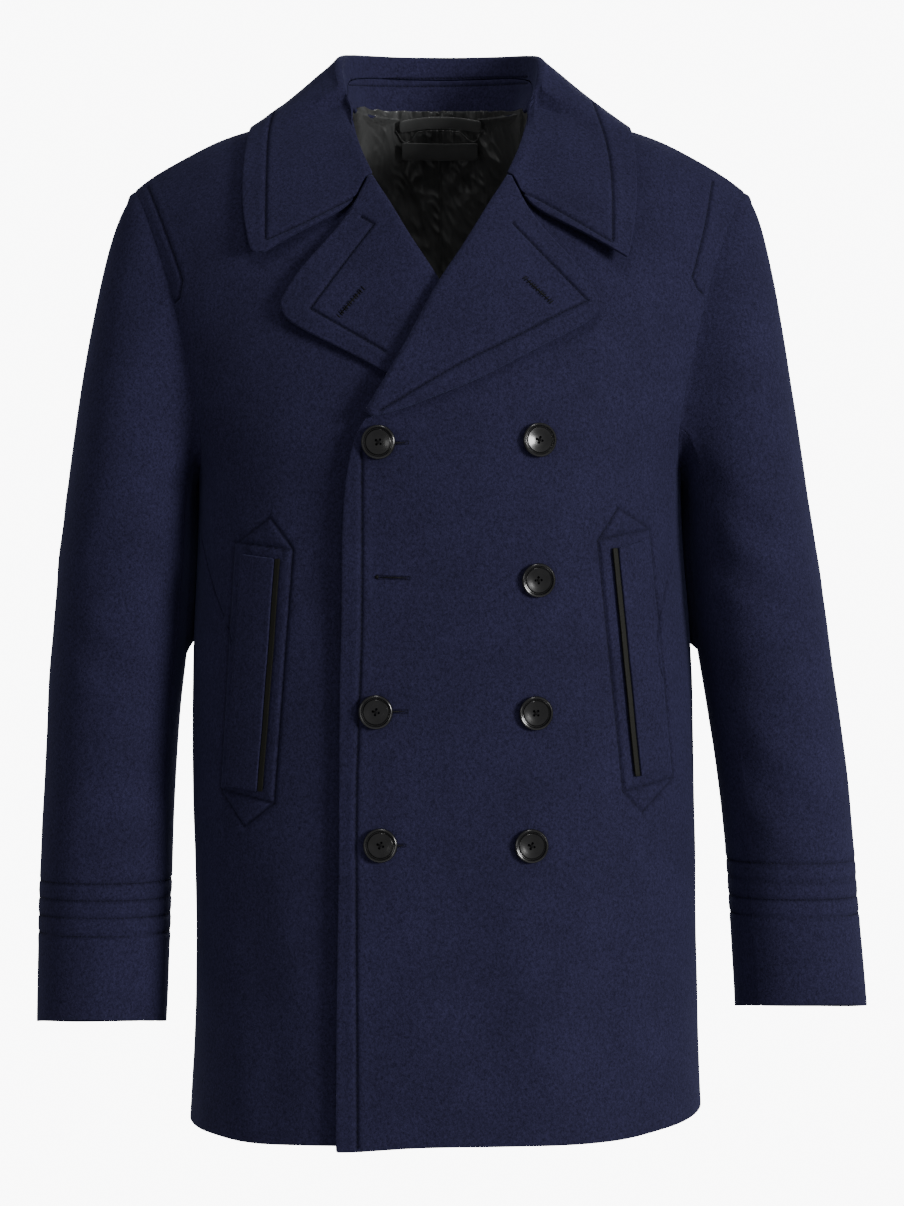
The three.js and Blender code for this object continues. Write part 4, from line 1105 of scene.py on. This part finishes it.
# %% Setting the buttons
BUTTON_PLACES = [
    {"node": "button_1_edge", "at": (378.6, 442.0), "spin": 3, "lean": (1.5, -2.0)},
    {"node": "button_1_inner", "at": (538.8, 440.0), "spin": 42, "lean": (-1.0, 1.0)},
    {"node": "button_2_inner", "at": (537.9, 580.0), "spin": 62, "lean": (3.0, -1.5)},
    {"node": "button_3_edge", "at": (375.7, 712.0), "spin": 30, "lean": (2.5, 2.5)},
    {"node": "button_3_inner", "at": (535.5, 713.0), "spin": 12, "lean": (2.0, -1.0)},
    {"node": "button_4_edge", "at": (380.5, 845.5), "spin": 20, "lean": (2.0, 1.0)},
    {"node": "button_4_inner", "at": (531.0, 846.0), "spin": 35, "lean": (2.5, -0.5)},
]
BUTTON_CLEAR = 0.5 * MM
button_thread = bmesh.new()
for row in BUTTON_PLACES:
    hit, normal, index, distance = button_front.ray_cast(*picture_ray(*row["at"]))
    facing = Vector((0, 0, 1)).rotation_difference(normal).to_matrix().to_4x4()
    nod, tip = (math.radians(angle) for angle in row["lean"])
    lean = Matrix.Rotation(nod, 4, "X") @ Matrix.Rotation(tip, 4, "Y")
    spin = Matrix.Rotation(math.radians(row["spin"]), 4, "Z")
    setting = Matrix.Translation(hit + normal * BUTTON_CLEAR) @ facing @ lean @ spin
    mesh = BUTTON.copy()
    mesh.transform(setting)
    button = link(bpy.data.objects.new(f"horn_{row['node']}", mesh))
    finish_piece(button, HORN, "horn", row["node"])
    mesh.set_sharp_from_angle(angle=math.radians(38))
    for turn in (45, 135):
        along = Vector((math.cos(math.radians(turn)), math.sin(math.radians(turn)), 0))
        across = Vector((-along.y, along.x, 0))
        for k in (-1, 0, 1):
            middle = (across * 0.42 * k + Vector((0, 0, 2.55 + 0.25 * (turn > 90)))) * MM
            stitch(
                button_thread, setting @ middle, (setting.to_3x3() @ along).normalized(),
                (setting.to_3x3() @ Vector((0, 0, 1))).normalized(), 4.7 * MM, 0.55 * MM,
            )
thread_piece("thread_buttons", button_thread, BLACK_THREAD_AND_SLIT_SHADE, "horn")

# %% [markdown]
# ## Buttonholes
# A tailored buttonhole is a slit with a round eye at the button's end, bound all round in close purl
# stitches. A long black strand lies in the slit and a short thick one at its eye as painted shade for the
# dark inside of the cut, and two rows of short cross stitches bind them. The lapels have a hole each, on
# the slant, where coarse dark stitches cross it like rungs.

# %% Buttonholes
def ladder(bm, tree, start, end, pitch=2.3, length=5.4, thick=1.0):
    line = lay(tree, [start, end], False)
    along = (line[-1][0] - line[0][0]).normalized()
    total = (line[-1][0] - line[0][0]).length
    steps = int(total / (pitch * MM))
    for k in range(steps + 1):
        place, normal = line[round(k / steps * (len(line) - 1))]
        across = normal.cross(along).normalized()
        spot = place + normal * 0.35 * MM
        stitch(bm, spot, (across + along * 0.12).normalized(), normal, length * MM, thick * MM)
    middle, normal = line[len(line) // 2]
    stitch(bm, middle + normal * 0.15 * MM, along, normal, total, 1.2 * MM)


def purl(bm, tree, start, end, eye=False, pitch=0.62, reach=1.15, length=1.3, thick=0.42, dark=None):
    line = lay(tree, [start, end], False)
    if len(line) < 2:
        return
    # Painted shade: a black strand fills the slit and a thick one the eye, where the cut is dark inside.
    if dark is not None:
        slit = (line[-1][0] - line[0][0])
        middle, normal = line[len(line) // 2]
        stitch(dark, middle + normal * 0.1 * MM, slit.normalized(), normal, slit.length, 1.3 * MM)
        if eye:
            stitch(dark, line[0][0], slit.normalized(), line[0][1], 3.6 * MM, 3.4 * MM)
    along = (line[-1][0] - line[0][0]).normalized()
    total = (line[-1][0] - line[0][0]).length
    for k in range(int(total / (pitch * MM)) + 1):
        t = min(1.0, k * pitch * MM / total)
        place, normal = line[min(len(line) - 1, round(t * (len(line) - 1)))]
        across = normal.cross(along).normalized()
        for side in (-1, 1):
            swell = 1.0 + (0.5 * math.exp(-((t * total / MM - 1.0) / 2.0) ** 2) if eye else 0.0)
            spot = place + across * side * reach * swell * MM
            stitch(bm, spot + normal * 0.12 * MM, across, normal, length * MM, thick * MM)
    for place, normal in (line[0], line[-1]):
        across = normal.cross(along).normalized()
        for k in range(-2, 3):
            stitch(bm, place + across * k * 0.5 * MM, along, normal, length * MM, thick * MM)


BUTTONHOLES = [
    {"start": (376.0, 443.5), "end": (408.5, 442.5), "eye": True},
    {"start": (376.8, 577.0), "end": (410.0, 578.0), "eye": True},
    {"start": (374.0, 712.0), "end": (408.0, 711.5), "eye": True},
    {"start": (378.0, 846.0), "end": (406.0, 845.5), "eye": True},
]
hole_thread, painted_slit_shade = bmesh.new(), bmesh.new()
for row in BUTTONHOLES:
    purl(hole_thread, button_front, row["start"], row["end"], row["eye"], dark=painted_slit_shade)
thread_piece("thread_buttonholes", hole_thread)
# The strands in the slits are painted shade, made of the black thread.
thread_piece("painted_shade_slits", painted_slit_shade, BLACK_THREAD_AND_SLIT_SHADE, "wool")
lapel_thread = bmesh.new()
LAPEL_HOLES = {"lapel_left": ((524.6, 277.5), (551.2, 302)), "lapel_right": ((363, 288), (338.5, 316))}
for name, (start, end) in LAPEL_HOLES.items():
    ladder(lapel_thread, lapel_faces[name], start, end)
thread_piece("thread_lapel_holes", lapel_thread, BLACK_THREAD_AND_SLIT_SHADE, "wool")

# %% [markdown]
# ## Sewing the lines
# Every topstitched line now gets its thread, a little darker and smoother than the nap. The thread sits at
# the bottom of its channel, so it reads as a fine broken line.

# %% Thread in the lines
for name, lines in sewn_lines.items():
    bm = bmesh.new()
    for line in lines:
        sew(bm, line, 3.4, 2.6, 0.62, 1.12)
    thread_piece(f"thread_{name}", bm)
bm = bmesh.new()
for ring in cuff_lines:
    sew(bm, ring, 3.4, 2.5, 0.6, 0.5)
thread_piece("thread_cuffs", bm)
bm = bmesh.new()
for row in neck_rows:
    sew(bm, row, 3.0, 1.9, 0.9, 0.45)
thread_piece("thread_neck_rows", bm)

# %% [markdown]
# ## The cut of the cloth
# A table gives each piece of cloth the size that it was cut to. width runs round the body, the arm
# or the neck, and length runs down the piece, both along the cloth and in metres. area is that of one
# layer in square metres, because a panel of a coat is never a rectangle. The strips of leather are
# narrower than a sheet can be stated, so a centimetre stands in for their width. Each cut area is
# printed beside the area found.

# %% Sheets
CUTS = [
    {
        "piece": "front_left", "width": 0.360, "length": 0.837, "area": 0.240,
        "held": "hung", "on": ["back_left"]
    },
    {
        "piece": "front_right", "width": 0.368, "length": 0.833, "area": 0.245,
        "held": "hung", "on": ["back_right"]
    },
    {
        "piece": "back_left", "width": 0.278, "length": 0.851, "area": 0.205,
        "held": "hung", "on": ["collar_stand"]
    },
    {
        "piece": "back_right", "width": 0.270, "length": 0.852, "area": 0.205,
        "held": "hung", "on": ["collar_stand"]
    },
    {
        "piece": "top_sleeve_left", "width": 0.275, "length": 0.65, "area": 0.148,
        "held": "hung", "on": ["front_left"]
    },
    {
        "piece": "top_sleeve_right", "width": 0.294, "length": 0.66, "area": 0.158,
        "held": "hung", "on": ["front_right"]
    },
    {
        "piece": "under_sleeve_left", "width": 0.131, "length": 0.48, "area": 0.050,
        "held": "hung", "on": ["back_left"]
    },
    {
        "piece": "under_sleeve_right", "width": 0.115, "length": 0.49, "area": 0.045,
        "held": "hung", "on": ["back_right"]
    },
    {
        "piece": "collar_fall", "width": 0.571, "length": 0.155, "area": 0.062,
        "held": "folded", "on": ["collar_stand"]
    },
    {
        "piece": "collar_stand", "width": 0.228, "length": 0.038, "area": 0.0067,
        "held": "hung", "on": ["back_left"]
    },
    {
        "piece": "lapel_left", "width": 0.119, "length": 0.245, "area": 0.0168,
        "held": "folded", "on": ["front_left"]
    },
    {
        "piece": "lapel_right", "width": 0.1185, "length": 0.244, "area": 0.0165,
        "held": "folded", "on": ["front_right"]
    },
    {
        "piece": "pocket_welt_left", "width": 0.030, "length": 0.178, "area": 0.0053,
        "held": "laid", "on": ["front_left"]
    },
    {
        "piece": "pocket_welt_right", "width": 0.0315, "length": 0.179, "area": 0.0056,
        "held": "laid", "on": ["front_right"]
    },
    {
        "piece": "pocket_piping_left", "width": 0.010, "length": 0.175, "area": 0.0009,
        "held": "laid", "on": ["front_left"]
    },
    {
        "piece": "pocket_piping_right", "width": 0.010, "length": 0.177, "area": 0.0009,
        "held": "laid", "on": ["front_right"]
    },
    {
        "piece": "back_lining", "width": 0.363, "length": 0.302, "area": 0.097,
        "held": "gathered", "on": ["collar_stand"]
    },
    {
        "piece": "neck_label", "width": 0.062, "length": 0.015, "area": 0.00090,
        "held": "laid", "on": ["back_lining"]
    },
    {
        "piece": "hanger_loop", "width": 0.067, "length": 0.0116, "area": 0.0007,
        "held": "laid", "on": ["back_lining"]
    },
]
for row in CUTS:
    piece = wool[row["piece"]]
    found = sum(p.area for p in piece.data.polygons) / 2
    print(f"sheet {row['piece']}: cut {row['area']:.4f} m2, found {found:.4f} m2")

# %% [markdown]
# ## Floor, lights and air
# The coat hangs over a plain pale floor in soft light. A broad key stands to the viewer's right, a
# weaker fill to the left, a small light above reaches into the collar, and one behind lights the back.
# The floor fades into the colour of the air with distance, so that no horizon cuts the picture.

# %% Stage
AIR = (0.93, 0.93, 0.94)
AIR_SEEN = 10.0
AIR_LIGHT = 0.28
FLOOR_LEVEL = -1.32
FLOOR_RADIUS = 14.0


def seen_or_lit(tree):
    """Bright where the air is looked at, and dimmer where it only lights the cloth."""
    path = tree.nodes.new("ShaderNodeLightPath")
    return math_node(tree, "MULTIPLY_ADD", path.outputs["Is Camera Ray"], AIR_SEEN - AIR_LIGHT, AIR_LIGHT)


def make_floor():
    bm = bmesh.new()
    bmesh.ops.create_circle(bm, cap_ends=True, segments=96, radius=FLOOR_RADIUS)
    bmesh.ops.translate(bm, verts=bm.verts, vec=(0, 0, FLOOR_LEVEL))
    mesh = bpy.data.meshes.new("floor")
    bm.to_mesh(mesh)
    bm.free()
    floor = link(bpy.data.objects.new("floor", mesh))
    material, tree, shader, where = start_material("pale_floor")
    shader.inputs["Roughness"].default_value = 0.9
    shader.inputs["Specular IOR Level"].default_value = 0.1
    grain = noise_node(tree, where, 30.0, 3.0, 0.5)
    tone = mix_colours(tree, grain, (0.80, 0.80, 0.81), (0.84, 0.84, 0.85))
    tree.links.new(tone, shader.inputs["Base Color"])
    far = add_node(tree, "ShaderNodeVectorMath", operation="LENGTH")
    tree.links.new(where, far.inputs[0])
    fade = add_node(tree, "ShaderNodeMapRange")
    fade.inputs["From Min"].default_value = 0.9
    fade.inputs["From Max"].default_value = 2.2
    fade.interpolation_type = "SMOOTHSTEP"
    tree.links.new(far.outputs["Value"], fade.inputs["Value"])
    glow = add_node(tree, "ShaderNodeEmission")
    glow.inputs["Color"].default_value = (*AIR, 1)
    tree.links.new(seen_or_lit(tree), glow.inputs["Strength"])
    blend = add_node(tree, "ShaderNodeMixShader")
    tree.links.new(fade.outputs["Result"], blend.inputs["Fac"])
    tree.links.new(shader.outputs[0], blend.inputs[1])
    tree.links.new(glow.outputs[0], blend.inputs[2])
    tree.links.new(blend.outputs[0], tree.nodes["Material Output"].inputs["Surface"])
    floor.data.materials.append(material)


def area_light(name, place, target, size, power, colour=(1, 1, 1)):
    data = bpy.data.lights.new(name, "AREA")
    data.shape = "DISK"
    data.size = size
    data.energy = power
    data.color = colour
    light = link(bpy.data.objects.new(name, data))
    light.location = place
    light.rotation_euler = (Vector(target) - Vector(place)).to_track_quat("-Z", "Y").to_euler()


make_floor()
world = bpy.data.worlds.new("air")
world.use_nodes = True
sky = world.node_tree.nodes["Background"]
sky.inputs["Color"].default_value = (*AIR, 1)
world.node_tree.links.new(seen_or_lit(world.node_tree), sky.inputs["Strength"])
scene.world = world
area_light("key", (3.8, -3.1, 0.35), (0, 0, -0.55), 1.5, 228)
area_light("fill", (-3.0, -3.4, 0.0), (0, 0, -0.4), 1.8, 20)
area_light("top", (0.1, -1.3, 1.8), (0, 0, -0.12), 0.6, 10)
area_light("behind", (0.2, 2.6, 1.0), (0, 0, -0.3), 1.6, 60)
print("stage set")
